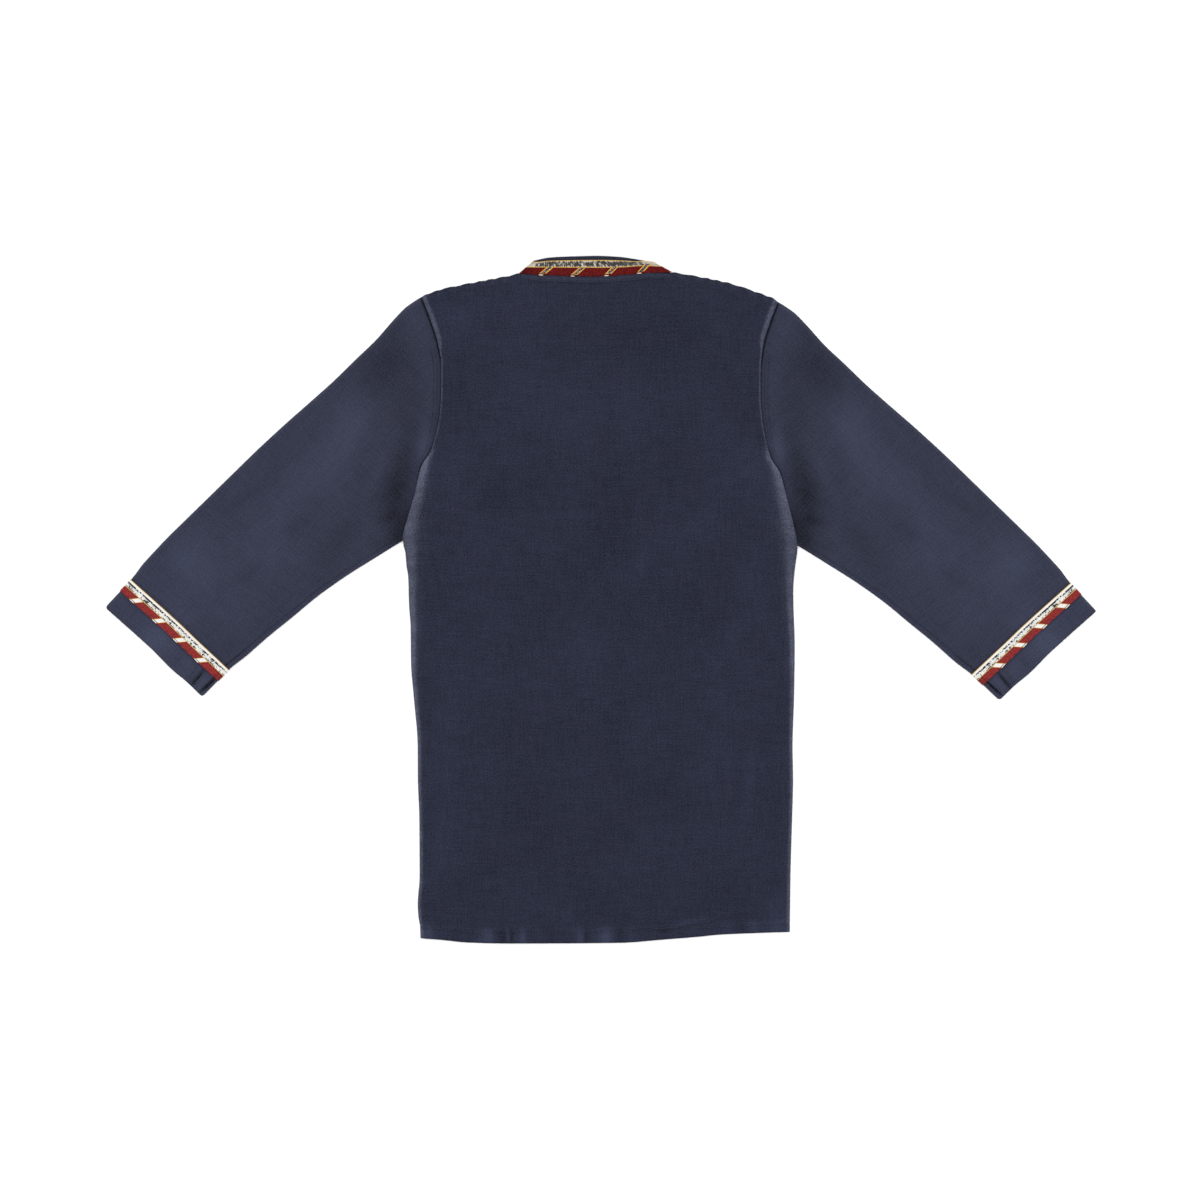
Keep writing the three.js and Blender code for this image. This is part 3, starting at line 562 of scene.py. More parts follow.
def cloth_finish(name, colour, pitch, uneven):
    """Slub plain weave: round threads both ways, thick and thin places, mottling, painted highlights on rolled edges
    and ridges, and painted light and shade from the tone attribute.
    """
    f = Finish(name)
    weave = f.u.wave(2 * pitch) * f.v.wave(2 * pitch)
    warp = f.mottle(1150.0, 42.0)
    weft = f.mottle(38.0, 1150.0, 7.0)
    warp_groups = f.mottle(430.0, 28.0, 11.0)
    weft_groups = f.mottle(24.0, 430.0, 13.0)
    slub_across = f.mottle(22.0, 560.0, 3.0, 1.0).between(0.64, 0.76)
    slub_down = f.mottle(560.0, 22.0, 5.0, 1.0).between(0.66, 0.78)
    grainy = f.mottle(640.0, 640.0, 1.0, 2.0, 0.6)
    patchy = f.mottle(90.0, 90.0, 2.0, 3.0, 0.55)
    broad = f.mottle(20.0, 16.0, 4.0)
    # Painted highlight: where rolled edges and ridges would catch the light, the colour turns a paler, greyer navy
    rub = f.attribute("rub")
    tone = (
        f.attribute("tone") + weave * 0.05
        + (warp - 0.5) * (0.6 * uneven) + (weft - 0.5) * (0.6 * uneven)
        + (warp_groups - 0.5) * (0.3 * uneven) + (weft_groups - 0.5) * (0.3 * uneven)
        + (grainy - 0.5) * (2.2 * uneven) + (patchy - 0.5) * (0.45 * uneven) + (broad - 0.5) * (0.4 * uneven)
        + slub_across * (0.10 * uneven) - slub_down * (0.07 * uneven)
    )
    highlight_colour = tuple(c * k for c, k in zip(colour, (4.2, 4.0, 3.15)))
    height = weave * 0.5 + (warp + weft) * 0.5 + (slub_across + slub_down) * 0.9 + patchy * 0.6
    return f.close(
        f.blended(rub, f.tinted(colour, tone), f.tinted(highlight_colour, tone)), height, 0.00022, 0.55,
        Roughness=0.93 - rub * 0.1, Specular_IOR_Level=0.10, Sheen_Weight=0.08, Sheen_Roughness=0.45,
        Sheen_Tint=(0.62, 0.66, 0.85, 1.0),
    )


def cuff_silver_finish(name, silver, gold):
    """Woven band, v from its lower edge: gold edge, flecks, dark-clustered ribs, flecks, plain strip, gold edge."""
    f = Finish(name)
    mm = f.v * 1000.0
    ribs = f.u.wave(0.0009)
    fine = f.u.wave(0.00045)
    cell = f.mottle(520.0, 640.0, 0.0, 1.0)
    patch = f.mottle(95.0, 60.0, 9.0)
    uneven_cell = cell + (patch - 0.5) * 1.1
    row_one = 1 - (mm - 1.1).absolute().between(0.25, 0.55)
    row_two = 1 - (mm - 4.9).absolute().between(0.75, 1.15)
    middle = 1 - (mm - 2.6).absolute().between(0.9, 1.3)
    flecks = (
        row_one * uneven_cell.between(0.42, 0.50) + row_two * uneven_cell.between(0.36, 0.46)
        + middle * uneven_cell.between(0.56, 0.64)
    ).between(0.0, 1.0)
    edge = (mm - 4.2).absolute().between(3.5, 3.65)
    white = f.tinted(silver, (patch - 0.5) * 0.3 + 1.0 - middle * 0.08 + (cell - 0.5) * 0.9 * (middle + row_two))
    woven = f.blended(flecks, white, (0.012, 0.011, 0.011, 1))
    gilt = f.tinted(gold, fine * 0.2 + 1.0 + (cell - 0.5) * 0.8)
    height = ribs * 0.4 * middle + fine * 0.25 - flecks * 0.8 + cell * 0.3
    return f.close(
        f.blended(edge, woven, gilt), height, 0.00018, 0.6,
        Roughness=0.45 + flecks * 0.3 + (cell - 0.5) * 0.1, Metallic=edge * 0.25, Specular_IOR_Level=0.35,
    )


def collar_silver_finish(name, silver, gold):
    """Tarnished band with fine pale ribs on dark thread between scalloped gold edges; its ends are cream."""
    f = Finish(name)
    mm = f.v * 1000.0
    cell = f.noise(f.vector(f.u * 760.0 + mm * 0.35, f.v * 180.0), 1.0)
    patch = f.mottle(110.0, 80.0, 9.0)
    wave = f.u.wave(0.0021)
    from_edge = 4.2 - (mm - 4.2).absolute() + wave * 0.18
    edge = 1 - from_edge.between(0.75, 1.05)
    rim = 1 - from_edge.between(1.5, 2.3)
    pale = (cell + (patch - 0.5) * 0.4 + rim * 0.08 + (f.attribute("tone") - 1.0) * 0.25).between(0.50, 0.64)
    warm_silver = (silver[0], silver[1] * 0.92, silver[2] * 0.82)
    woven = f.blended(pale, (0.014, 0.013, 0.012, 1), f.tinted(warm_silver, 0.62 + (patch - 0.5) * 0.4))
    gilt = f.tinted(gold, 0.95 + (cell - 0.5) * 1.3)
    return f.close(
        f.blended(edge, woven, gilt), cell + pale * 0.5, 0.00018, 0.6,
        Roughness=0.55 - pale * 0.1, Metallic=edge * 0.25, Specular_IOR_Level=0.3,
    )


def red_finish(name, colour, shine):
    """Deep red satin thread with fine ribs across and a dotted, darker lower edge."""
    f = Finish(name)
    mm = f.v * 1000.0
    ribs = f.u.wave(0.0007)
    streak = f.mottle(1100.0, 260.0)
    cell = f.mottle(560.0, 560.0, 4.0)
    patch = f.mottle(130.0, 130.0, 8.0)
    dots = f.u.wave(0.0021).between(-0.3, 0.6) * (1 - mm.between(0.4, 1.1))
    tone = 1.0 + ribs * 0.08 + (streak - 0.5) * 0.9 + (cell - 0.5) * 2.2 + (patch - 0.5) * 0.35 - dots * 0.6
    height = ribs * 0.6 + streak * 0.5 + cell * 0.6 - dots * 0.6
    return f.close(
        f.tinted(colour, tone * f.attribute("tone")), height, 0.00015, 0.55,
        Roughness=0.6 + (streak - 0.5) * 0.2, Specular_IOR_Level=shine,
    )


def bar_finish(name, pale, gold, heart, flecked, edge):
    """A woven bar: fine ribs and flecks, gold thread down both slanted sides, and its cream loop."""
    f = Finish(name, mapped=False)
    across, along, loop = f.attribute("across"), f.attribute("along"), f.attribute("loop")
    cell = f.noise(f.place, 780.0, 1.0)
    ribs = along.wave(0.00085)
    turns = (along + across * 0.002).wave(0.0011)
    side = across.absolute().between(edge - 0.03, edge + 0.03) * (1 - loop)
    flecks = (cell + ribs * 0.05).between(0.49 + 0.11 * flecked, 0.55 + 0.11 * flecked)
    middle = f.blended(flecks * flecked, f.tinted(heart, 1.0 + ribs * 0.07), f.tinted(pale, 1.0))
    body = f.blended(loop, middle, f.tinted(pale, 1.0 + turns * 0.1))
    ends = across.absolute().between(0.30, 0.40) * loop
    body = f.blended(ends, body, f.tinted(gold, 0.75 + turns * 0.3))
    return f.close(
        f.blended(side, body, f.tinted(gold, 1.0 + turns * 0.25)), ribs * (1 - side) + turns * side, 0.00015, 0.6,
        Roughness=0.5, Metallic=side * 0.2, Specular_IOR_Level=0.35,
    )


def thread_finish(name, colour, roughness, metallic=0.0):
    f = Finish(name, mapped=False)
    hair = f.noise(f.place, 2600.0, 2.0)
    body = f.noise(f.place, 700.0, 1.0)
    return f.close(
        f.tinted(colour, 0.7 + hair * 0.35 + body * 0.25), hair, 0.0001, 0.5,
        Roughness=roughness + (body - 0.5) * 0.15, Metallic=metallic, Specular_IOR_Level=0.3,
    )


def button_finish(name, colour):
    f = Finish(name, mapped=False)
    cloud = f.noise(f.place, 260.0, 3.0)
    scratch = f.noise(f.place, 1800.0, 2.0)
    return f.close(
        f.tinted(colour, 0.75 + cloud * 0.5), scratch, 0.00004, 0.4,
        Roughness=0.28 + scratch * 0.18, Specular_IOR_Level=0.5,
    )


def floor_finish(name, colour):
    f = Finish(name, mapped=False)
    grain = f.noise(f.place, 3.0, 3.0)
    return f.close(f.tinted(colour, 0.99 + grain * 0.02), None, Roughness=0.8, Specular_IOR_Level=0.1)


# Geometry Nodes


def node_group(name, source, numbers, build):
    """A Geometry Nodes tree with a source, named numbers and a material; build gets the graph and the input node."""
    group = bpy.data.node_groups.new(name, "GeometryNodeTree")
    group.interface.new_socket(source, in_out="INPUT", socket_type="NodeSocketGeometry")
    for label, value in numbers.items():
        group.interface.new_socket(label, in_out="INPUT", socket_type="NodeSocketFloat").default_value = value
    group.interface.new_socket("Material", in_out="INPUT", socket_type="NodeSocketMaterial")
    group.interface.new_socket("Result", in_out="OUTPUT", socket_type="NodeSocketGeometry")
    graph = Graph(group)
    given = graph.node("NodeGroupInput")
    made = build(graph, given)
    real = graph.node("GeometryNodeRealizeInstances", None, {"Geometry": made})
    smooth = graph.node("GeometryNodeSetShadeSmooth", None, {"Geometry": real.outputs[0]})
    dressed = graph.node(
        "GeometryNodeSetMaterial", None, {"Geometry": smooth.outputs[0], "Material": given.outputs["Material"]}
    )
    graph.node("NodeGroupOutput", None, {0: dressed.outputs[0]})
    return group


def stitch_group():
    """Stitches, or the turns of a cord, one after another along a line."""

    def build(graph, given):
        out = given.outputs
        curve = graph.node("GeometryNodeMeshToCurve", None, {"Mesh": out["Line"]})
        even = graph.node(
            "GeometryNodeResampleCurve", {"mode": "LENGTH"}, {"Curve": curve.outputs[0], "Length": out["Pitch"]}
        )
        tangent = graph.node("GeometryNodeInputTangent").outputs[0]
        aside = graph.node("ShaderNodeVectorMath", {"operation": "CROSS_PRODUCT"}, {0: tangent, 1: (0, 0, 1)})
        lean = graph.node("ShaderNodeVectorMath", {"operation": "SCALE"}, {0: aside.outputs[0], "Scale": out["Slant"]})
        heading = graph.node("ShaderNodeVectorMath", {"operation": "ADD"}, {0: tangent, 1: lean.outputs[0]})
        facing = graph.node("FunctionNodeAlignRotationToVector", {"axis": "X"}, {"Vector": heading.outputs[0]})
        bead = graph.node("GeometryNodeMeshIcoSphere", None, {"Radius": 0.5, "Subdivisions": 2})
        size = graph.vector(out["Stitch length"], out["Thread width"], out["Thread width"])
        uneven = graph.node("FunctionNodeRandomValue", {"data_type": "FLOAT"}, {2: 0.86, 3: 1.12, "Seed": 11})
        scale = graph.node("ShaderNodeVectorMath", {"operation": "SCALE"}, {0: size, "Scale": uneven.outputs[1]})
        placed = graph.node(
            "GeometryNodeInstanceOnPoints", None,
            {"Points": even.outputs[0], "Instance": bead.outputs[0], "Rotation": facing.outputs[0],
             "Scale": scale.outputs[0]},
        )
        return placed.outputs[0]

    return node_group("Stitches along a line", "Line", {
        "Pitch": 0.0028, "Stitch length": 0.0022, "Thread width": 0.0004, "Slant": 0.0,
    }, build)


def bar_group():
    """Slanting woven bars, each with its loop, on points that hold the band's direction and face."""

    def build(graph, given):
        out = given.outputs

        def woven(long, wide, thick, loop, counts):
            cube = graph.node("GeometryNodeMeshCube", None, {
                "Size": graph.vector(wide, long, thick),
                "Vertices X": counts[0], "Vertices Y": counts[1], "Vertices Z": 2,
            })
            place = graph.node("GeometryNodeInputPosition").outputs[0]
            split = graph.node("ShaderNodeSeparateXYZ", None, {0: place})
            x, y, z = (Field(graph, split.outputs[k]) for k in range(3))
            made = cube.outputs["Mesh"]
            for name, value in (("across", x / Field(graph, wide)), ("along", y + 0.0), ("loop", loop)):
                values = {"Geometry": made, "Name": name, "Value": value}
                made = graph.node("GeometryNodeStoreNamedAttribute", {"data_type": "FLOAT"}, values).outputs[0]
            crown = (1 - (x / Field(graph, wide) * 2.0).maths("POWER", 4.0)) * 0.00018
            top = z.maths("GREATER_THAN", 0.0)
            moved = graph.vector(x + y * (Field(graph, out["Lean"]) * (1.0 - loop)), y, z + crown * top)
            return graph.node("GeometryNodeSetPosition", None, {"Geometry": made, "Position": moved}).outputs[0]

        bar = woven(out["Bar length"], out["Bar width"], out["Thickness"], 0.0, (13, 13))
        loop = woven(out["Loop width"], out["Loop length"], out["Thickness"], 1.0, (15, 4))
        aside = graph.vector(out["Loop aside"], out["Loop below"], out["Loop drop"])
        beyond = graph.node("GeometryNodeTransform", None, {"Geometry": loop, "Translation": aside})
        both = graph.node("GeometryNodeJoinGeometry")
        graph.tree.links.new(bar, both.inputs[0])
        graph.tree.links.new(beyond.outputs[0], both.inputs[0])

        def held(name):
            settings = {"data_type": "FLOAT_VECTOR"}
            return graph.node("GeometryNodeInputNamedAttribute", settings, {"Name": name}).outputs[0]

        along = graph.node("FunctionNodeAlignRotationToVector", {"axis": "X"}, {"Vector": held("band")})
        facing = graph.node(
            "FunctionNodeAlignRotationToVector", {"axis": "Z", "pivot_axis": "X"},
            {"Rotation": along.outputs[0], "Vector": held("face")},
        )
        return graph.node("GeometryNodeInstanceOnPoints", None, {
            "Points": out["Points"], "Instance": both.outputs[0], "Rotation": facing.outputs[0],
        }).outputs[0]

    return node_group("Slanting bars of a braid", "Points", {
        "Bar length": 0.008, "Bar width": 0.0055, "Thickness": 0.0004, "Lean": 0.87, "Loop length": 0.0075,
        "Loop width": 0.0012, "Loop aside": 0.0, "Loop below": -0.005, "Loop drop": -0.0005,
    }, build)


def grown(name, source, group, material, values):
    """The plain mesh that a node tree makes on a source object, which is then removed."""
    modifier = source.modifiers.new("made", "NODES")
    modifier.node_group = group
    sockets = {s.name: s.identifier for s in group.interface.items_tree if s.in_out == "INPUT"}
    for label, value in {**values, "Material": material}.items():
        modifier[sockets[label]] = value
    graph = bpy.context.evaluated_depsgraph_get()
    mesh = bpy.data.meshes.new_from_object(source.evaluated_get(graph), depsgraph=graph)
    mesh.name = name
    source.modifiers.remove(modifier)
    bpy.data.objects.remove(source)
    if not mesh.polygons:
        raise RuntimeError(f"{name}: the node tree made no faces")
    return plain_object(name, mesh, material)


# The garment's surfaces


def panel(top, hem, left, right, inset, u, v):
    """Points of a body panel between its four edges: x, down and width. Its sides are inset only below the armholes."""
    def edge(rows, side, t):
        down = mix(rows[0][0], rows[-1][0], t)
        inset_here = inset * mix(-ARMHOLE_OVERLAP, 1, ramp(down, *ARMHOLE_END))
        return side * (read(rows, down) - inset_here), down

    def line(rows, t):
        x = mix(rows[0][0] + inset, rows[-1][0] - inset, t)
        return x, read(rows, x)

    tops, hems, lefts, rights = line(top, u), line(hem, u), edge(left, -1, v), edge(right, 1, v)
    corners = [line(top, 0.0), line(top, 1.0), line(hem, 0.0), line(hem, 1.0)]
    x, down = (
        mix(tops[k], hems[k], v) + mix(lefts[k], rights[k], u)
        - mix(mix(corners[0][k], corners[1][k], u), mix(corners[2][k], corners[3][k], u), v)
        for k in (0, 1)
    )
    return x, down, rights[0] - lefts[0]


def placket_swell(x, down):
    beside = 1 - ramp(np.abs(x - CENTRE_FRONT), PLACKET_HALF + 8, PLACKET_HALF + 52)
    end = NECK_DEPTH + PLACKET_LONG + 17
    return beside * (1 - ramp(down, end + 8, end + 70))


def neck_span(x, start, end):
    """0 outside the back neck and 1 within it, rising between these distances from its corners."""
    return ramp(x, NECK_LEFT + start, NECK_LEFT + end) * ramp(-x, -NECK_RIGHT + start, -NECK_RIGHT + end)


def back_height(x, down, from_side, from_top, from_hem):
    """Upper side of the back, over sleeves and placket, with rolled sides, ridge and hem; and the hem's width."""
    high, wide = read(ROLL_HIGH, down), read(ROLL_WIDE, down)
    level = LAYER + 1.6 * (1 - ramp(down, 305, 430)) + 1.2 * placket_swell(x, down)
    crest = level + high * (1 - ramp(from_side, wide, wide * 3.4))
    side_level = mix(level, LAYER, ramp(down, 295, 315))
    bend = np.clip(1 - from_side / wide, 0, 1)
    rolled = mix(crest, side_level, quarter(bend) * ramp(down, 205, 235))
    shoulder = np.maximum(ramp(x, NECK_RIGHT + 4, NECK_RIGHT + 20), ramp(-x, -NECK_LEFT + 4, -NECK_LEFT + 20))
    rest = rolled - (rolled - LAYER) * shoulder * (1 - ramp(from_top, -2, 9))
    ridge = np.where(down < 100, 0.8, 0.4) * (1 - ramp(down, 195, 215)) * (1 - ramp(from_side, 4, 6))
    hem_here = mix(HEM, HEM - 3, ramp(x, 84, 112))
    hem = 0.6 * (1 - ramp(from_hem, hem_here - 1.5, hem_here + 0.5))
    neck = 0.4 * (1 - ramp(from_top, 4, 6.5)) * neck_span(x, 6, 20)
    return rest + SOLID_WALL + np.maximum(np.maximum(ridge, hem), neck), hem_here


def back_point(u, v, strength):
    """Everything about the back at places across and down it."""
    x, down, width = panel(SHOULDER_LINE, HEM_LINE, LEFT_SIDE, RIGHT_SIDE, 0.0, u, v)
    from_side = np.minimum(u, 1 - u) * width
    from_top, from_hem = v * PANEL_LONG + 0 * u, (1 - v) * PANEL_LONG + 0 * u
    top, hem_here = back_height(x, down, from_side, from_top, from_hem)
    neck = neck_span(x, 4, 10)
    fold_start = np.where(x < 0, FOLD_START["left"], FOLD_START["right"])
    armhole = 1 - ramp(down, fold_start - 14, fold_start - 2)
    inside = ramp(from_side, 1, 9) * ramp(from_top, 1, 7)
    creases = soft_lines(x, down, BACK_CREASES + HEM_CREASES)
    detail = creases * strength + 0.22 * ripple(x, down, 5, 120) + 0.1 * ripple(x, down, 8, 42)
    groove = 0.28 * near(from_hem, hem_here, 0.8)
    groove += 0.3 * near(from_top, 5.8, 0.8) * neck
    pucker = 0.16 * uneven_wave(down, 1.1, 1.5, 0.23) * near(from_side, 6.5, 3.5) * armhole
    hem_tick = 0.16 * uneven_wave(x, 0.62, 2.2, 0.07) * near(from_hem, hem_here, 4.0)
    edge = np.clip(1 - np.minimum(from_side, np.minimum(from_top, from_hem)) / 0.9, 0, 1)
    rounded = 0.42 * quarter(edge)
    top = top + detail * inside - groove + pucker + hem_tick - rounded
    side_open = ramp(down, 300, 318) * (1 - ramp(from_side, 0.8, 2.6))
    under = mix(top - CLOTH, np.minimum(top - CLOTH, 0.78), side_open)
    under = mix(under, np.minimum(under, 2.3), armhole * (1 - ramp(from_side, 1.2, 2.6)))
    under = mix(under, np.minimum(under, 3.0), neck * (1 - ramp(from_top, 0.8, 2.4)))
    scallop = 0.5 * uneven_wave(x, 0.47, 1.6, 0.11) * (1 - ramp(from_top, 0, 6)) * (1 - neck)
    return {
        "x": x, "down": down + scallop, "side": from_side, "top": from_top, "hem": from_hem, "hem_here": hem_here,
        "armhole": armhole, "neck": neck, "outer": top, "inner": under,
    }


def front_side(rows, underarm, fold_start):
    """The front's side line: the armhole and underarm seam, then the back's side from just below them."""
    side = [row for row in rows if row[0] > underarm[-1][0] + 8]
    joint = (side[0][0] - 3, side[0][1] - 3)
    return [row for row in rows if row[0] <= fold_start] + list(underarm) + [joint] + side


def front_neck_down(t):
    return NECK_POINT + NECK_DEPTH * (1 - t * t)


FRONT_TOP = (
    [row for row in SHOULDER_LINE if row[0] < NECK_LEFT - 1]
    + [(mix(NECK_LEFT, NECK_RIGHT, (t + 1) / 2), front_neck_down(t)) for t in np.linspace(-1, 1, 9)]
    + [row for row in SHOULDER_LINE if row[0] > NECK_RIGHT + 1]
)
FRONT_LEFT = front_side(LEFT_SIDE, LEFT_UNDERARM, FOLD_START["left"])
FRONT_RIGHT = front_side(RIGHT_SIDE, RIGHT_UNDERARM, FOLD_START["right"])
FRONT_CREASES = (
    (-150, 330, -60, 360, 7, 0.3, 6), (60, 250, 150, 300, 8, 0.3, -6), (-120, 470, -20, 500, 9, 0.32, 8),
    (30, 540, 140, 520, 8, 0.3, 5), (-90, 600, -60, 670, 6, 0.3, 3), (96, 600, 104, 668, 6, 0.3, -2),
    (-160, 120, -110, 160, 6, 0.28, 4), (110, 110, 158, 150, 6, 0.28, -4), (-40, 300, 20, 420, 8, 0.25, 7),
)


def armhole_point(arm, name, t):
    """A place on the armhole's seam, a little outside the back's edge, from 0 at the shoulder to 1 at the underarm."""
    rows = [row for row in arm["edge"] if row[0] <= FOLD_START[name]] + list(arm["underarm"])
    down = mix(rows[0][0], rows[-1][0], t)
    apart = mix(0.06, 0.3, ramp(down, FOLD_START[name] - 2, FOLD_START[name] + 14))
    return arm["side"] * (read(rows, down) + apart), down


def sleeve_plan(name, start, t):
    """Where a sleeve lies, at a distance from its cuff along the seam and a place across."""
    arm = ARMS[name]
    turning = np.maximum(0, (start - SLEEVE_STRAIGHT) / (SEAM_LONG - SLEEVE_STRAIGHT))
    fold_start = start + (FOLD_LONG - SEAM_LONG) * turning**1.35
    sine, cosine = math.sin(arm["lean"]), math.cos(arm["lean"])

    def place(along, across):
        return (
            arm["corner"][0] - arm["side"] * (sine * along + cosine * across),
            arm["corner"][1] - cosine * along + sine * across,
        )

    fold = place(fold_start, read(SLEEVE_FOLD, fold_start))
    seam = place(start, read(SLEEVE_SEAM[name], start))
    waver = read(CUFF_EDGE[name], t) * (1 - ramp(start, 0, 18))
    waver = waver + read(TRIM_EDGE, t) * ramp(start, 8, 20) * (1 - ramp(start, 45, 70))
    wavered = (-arm["side"] * sine * waver, -cosine * waver)
    tip, underarm, here = (armhole_point(arm, name, k) for k in (0.0, 1.0, t))
    bend = ramp(turning, 0, 1) * turning
    fold_tip = place(FOLD_LONG, SLEEVE_FOLD[-1][1])
    seam_tip = place(SEAM_LONG, SLEEVE_SEAM[name][-1][1])
    return tuple(
        mix(fold[k], seam[k], t) + wavered[k] + bend * (here[k] - mix(tip[k], underarm[k], t))
        + turning**3 * mix(tip[k] - fold_tip[k], underarm[k] - seam_tip[k], t)
        for k in (0, 1)
    )


def sleeve_grain(name, x, down):
    arm = ARMS[name]
    dx, dd = -arm["side"] * (x - arm["corner"][0]), arm["corner"][1] - down
    sine, cosine = math.sin(arm["lean"]), math.cos(arm["lean"])
    return sine * dx + cosine * dd, cosine * dx - sine * dd


def sleeve_width(start):
    return CUFF_ACROSS + np.maximum(0, start - SLEEVE_STRAIGHT) * 0.45


def sleeve_lift(name, start):
    """How far the under layer is raised over the braid below it."""
    beyond = start - ARMS[name]["trim"]
    return (BRAID_THICK + GAP) * ramp(beyond, -12, -2) * (1 - ramp(beyond, BRAID_WIDE + 2, BRAID_WIDE + 16))


def sleeve_height(start, t):
    swell = sum(
        high * near(start, place, long) * near(t, across, wide)
        for place, across, long, wide, high in SLEEVE_SWELLS
    )
    clear = (1 - ramp(start, 236, 258)) * ramp(t, 0, 0.06) * (1 - ramp(t, 0.94, 1))
    return mix(3.2, 2.5, ramp(start, 60, 240)) + swell * clear


def ring_places(width, across_step, under_step, turns=4):
    """Round a flattened tube from its seam edge: t, turn angle and which part (1 top, 0 edge, -1 under)."""
    near = [2.5, 3.1, 3.6, 4.1, 4.7, 5.2, 5.8, 6.5, 7.4, 8.6, 10.4, 13]
    top = graded(width, [2.5, 3.6, 5, 8], near, across_step)[::-1]
    under = graded(width, [2.5, 5], [2.5, 5], under_step)
    up = np.linspace(0, math.pi / 2, turns + 1)
    rows = [(1.0, a, 0) for a in up] + [(t, math.pi / 2, 1) for t in top]
    rows += [(0.0, a, 0) for a in np.linspace(math.pi / 2, -math.pi / 2, 2 * turns + 1)]
    rows += [(t, -math.pi / 2, -1) for t in under] + [(1.0, a, 0) for a in -up[::-1][:-1]]
    return np.array(rows).T


def ring_side(ring):
    """1 on top of a flattened tube and -1 underneath, turning over at its folded edge."""
    t, angle, part = ring
    edge = np.where(t > 0.5, np.where(angle >= 0, 1, -1), np.sin(angle))
    return np.where(part == 0, edge, part)


def sleeve_ring(name, start, grow, ring):
    """Sections of the sleeve, grown outward: a grid of points, one row for each distance from the cuff."""
    t, angle, part = ring
    start, grow = np.reshape(start, (-1, 1)), np.reshape(grow, (-1, 1))
    low = sleeve_lift(name, start)
    width = sleeve_width(start)
    top = sleeve_height(start, t)
    half = (top - low) / 2 + grow
    reach = np.where(part == 0, (half - grow) - np.cos(angle) * half, 0)
    soft = np.clip(1 - start / 3.2, 0, 1)
    from_edge = np.minimum(t, 1 - t) * width
    rounding = np.where(t > 0.5, 2.2, ARMS[name]["round"])
    reach = reach + rounding * quarter(soft) * (1 - ramp(from_edge, 0, 12))
    x, down = sleeve_plan(name, start, t + np.where(t > 0.5, -1, 1) * reach / width)
    return x, down, (top + low) / 2 + np.sin(angle) * half


def collar_stations(front_count=40, back_count=64):
    """Sections of the collar band from the front opening round the back: foot, head, height and facing."""
    rows = []

    def front(t):
        foot = (NECK_MIDDLE + (NECK_HALF - 1.2) * t, front_neck_down(t) - 1.0)
        return (*foot, NECK_MIDDLE + (NECK_HALF - 18.5) * t, foot[1] - mix(COLLAR_HIGH, 12.5, t * t), COLLAR_LOW, 0, -1)

    def turn(x, head_x, foot, head, side, steps):
        for step in np.radians(steps):
            out = side * COLLAR_TURN * math.cos(step)
            rows.append((x + out, foot, head_x + out, head, COLLAR_LOW + COLLAR_TURN * (1 + math.sin(step)),
                         side * math.cos(step), math.sin(step)))

    rows += [front(-t) for t in np.linspace(0.01, 0.985, front_count)]
    turn(COLLAR_FOOT[0][0], COLLAR_HEAD_X[0][1], COLLAR_FOOT[0][1], COLLAR_HEAD[0][1], -1, np.linspace(-75, 75, 9))
    for x in np.linspace(COLLAR_FOOT[0][0], COLLAR_FOOT[-1][0], back_count):
        rows.append((x, read(COLLAR_FOOT, x), read(COLLAR_HEAD_X, x), read(COLLAR_HEAD, x),
                     COLLAR_LOW + 2 * COLLAR_TURN, 0, 1))
    turn(COLLAR_FOOT[-1][0], COLLAR_HEAD_X[-1][1], COLLAR_FOOT[-1][1], COLLAR_HEAD[-1][1], 1, np.linspace(75, -75, 9))
    rows += [front(t) for t in np.linspace(0.985, 0.01, front_count)]
    return np.array(rows, float)


def collar_face(stations, height, distance):
    foot_x, foot, head_x, head, z, side, up = (stations[:, k][:, None] for k in range(7))
    t = height / COLLAR_HIGH
    return mix(foot_x, head_x, t) + side * distance, mix(foot, head, t) + 0 * distance, z + up * distance


def along_line(x, down):
    """Distance along the first column of a grid, in mm."""
    step = np.hypot(np.diff(x[:, 0]), np.diff(down[:, 0]))
    return np.concatenate([[0], np.cumsum(step)])


# The user's settings


def colour_setting(name, words, value):
    return bpy.props.FloatVectorProperty(
        name=name, description=words, subtype="COLOR", size=4, default=(*value, 1.0), min=0, max=1,
    )


def length_setting(name, words, value, low, high, digits):
    return bpy.props.FloatProperty(
        name=name, description=words, unit="LENGTH", default=value, min=low, max=high, precision=digits,
    )


def share_setting(name, words, high):
    return bpy.props.FloatProperty(name=name, description=words, default=1.0, min=0, max=high, subtype="FACTOR")


class KurtaSettings(bpy.types.PropertyGroup):
    body_colour: colour_setting("Body colour", "Navy of the body's cloth", (0.0144, 0.0165, 0.0310))
    sleeve_colour: colour_setting("Sleeve colour", "Navy of the sleeves' cloth", (0.0232, 0.0260, 0.0448))
    red_colour: colour_setting("Red", "Red satin thread of the braid", (0.215, 0.013, 0.013))
    silver_colour: colour_setting("Silver", "Silver thread of the braid", (0.64, 0.63, 0.60))
    gold_colour: colour_setting("Gold", "Gold thread at the edges of the braid", (0.46, 0.285, 0.06))
    weave_pitch: length_setting("Thread pitch", "Distance between the cloth's threads", 0.00055, 0.0002, 0.003, 5)
    unevenness: share_setting("Slub", "How uneven the cloth's threads and colour are", 2)
    crease_strength: share_setting("Creases", "How deep the soft creases of the body are", 1.5)
    stitch_length: length_setting("Stitch length", "Length of one stitch of the hems", 0.0022, 0.001, 0.005, 4)
    stitch_pitch: length_setting("Stitch pitch", "Distance from one stitch to the next", 0.0029, 0.0015, 0.006, 4)
    thread_width: length_setting("Thread width", "Width of the sewing thread", 0.00042, 0.0001, 0.001, 5)
    floor_colour: colour_setting("Floor", "Colour of the floor", (0.99, 0.99, 0.99))


# What is made once and used again: materials, node trees and the edges of the placket's slit.
made = {}


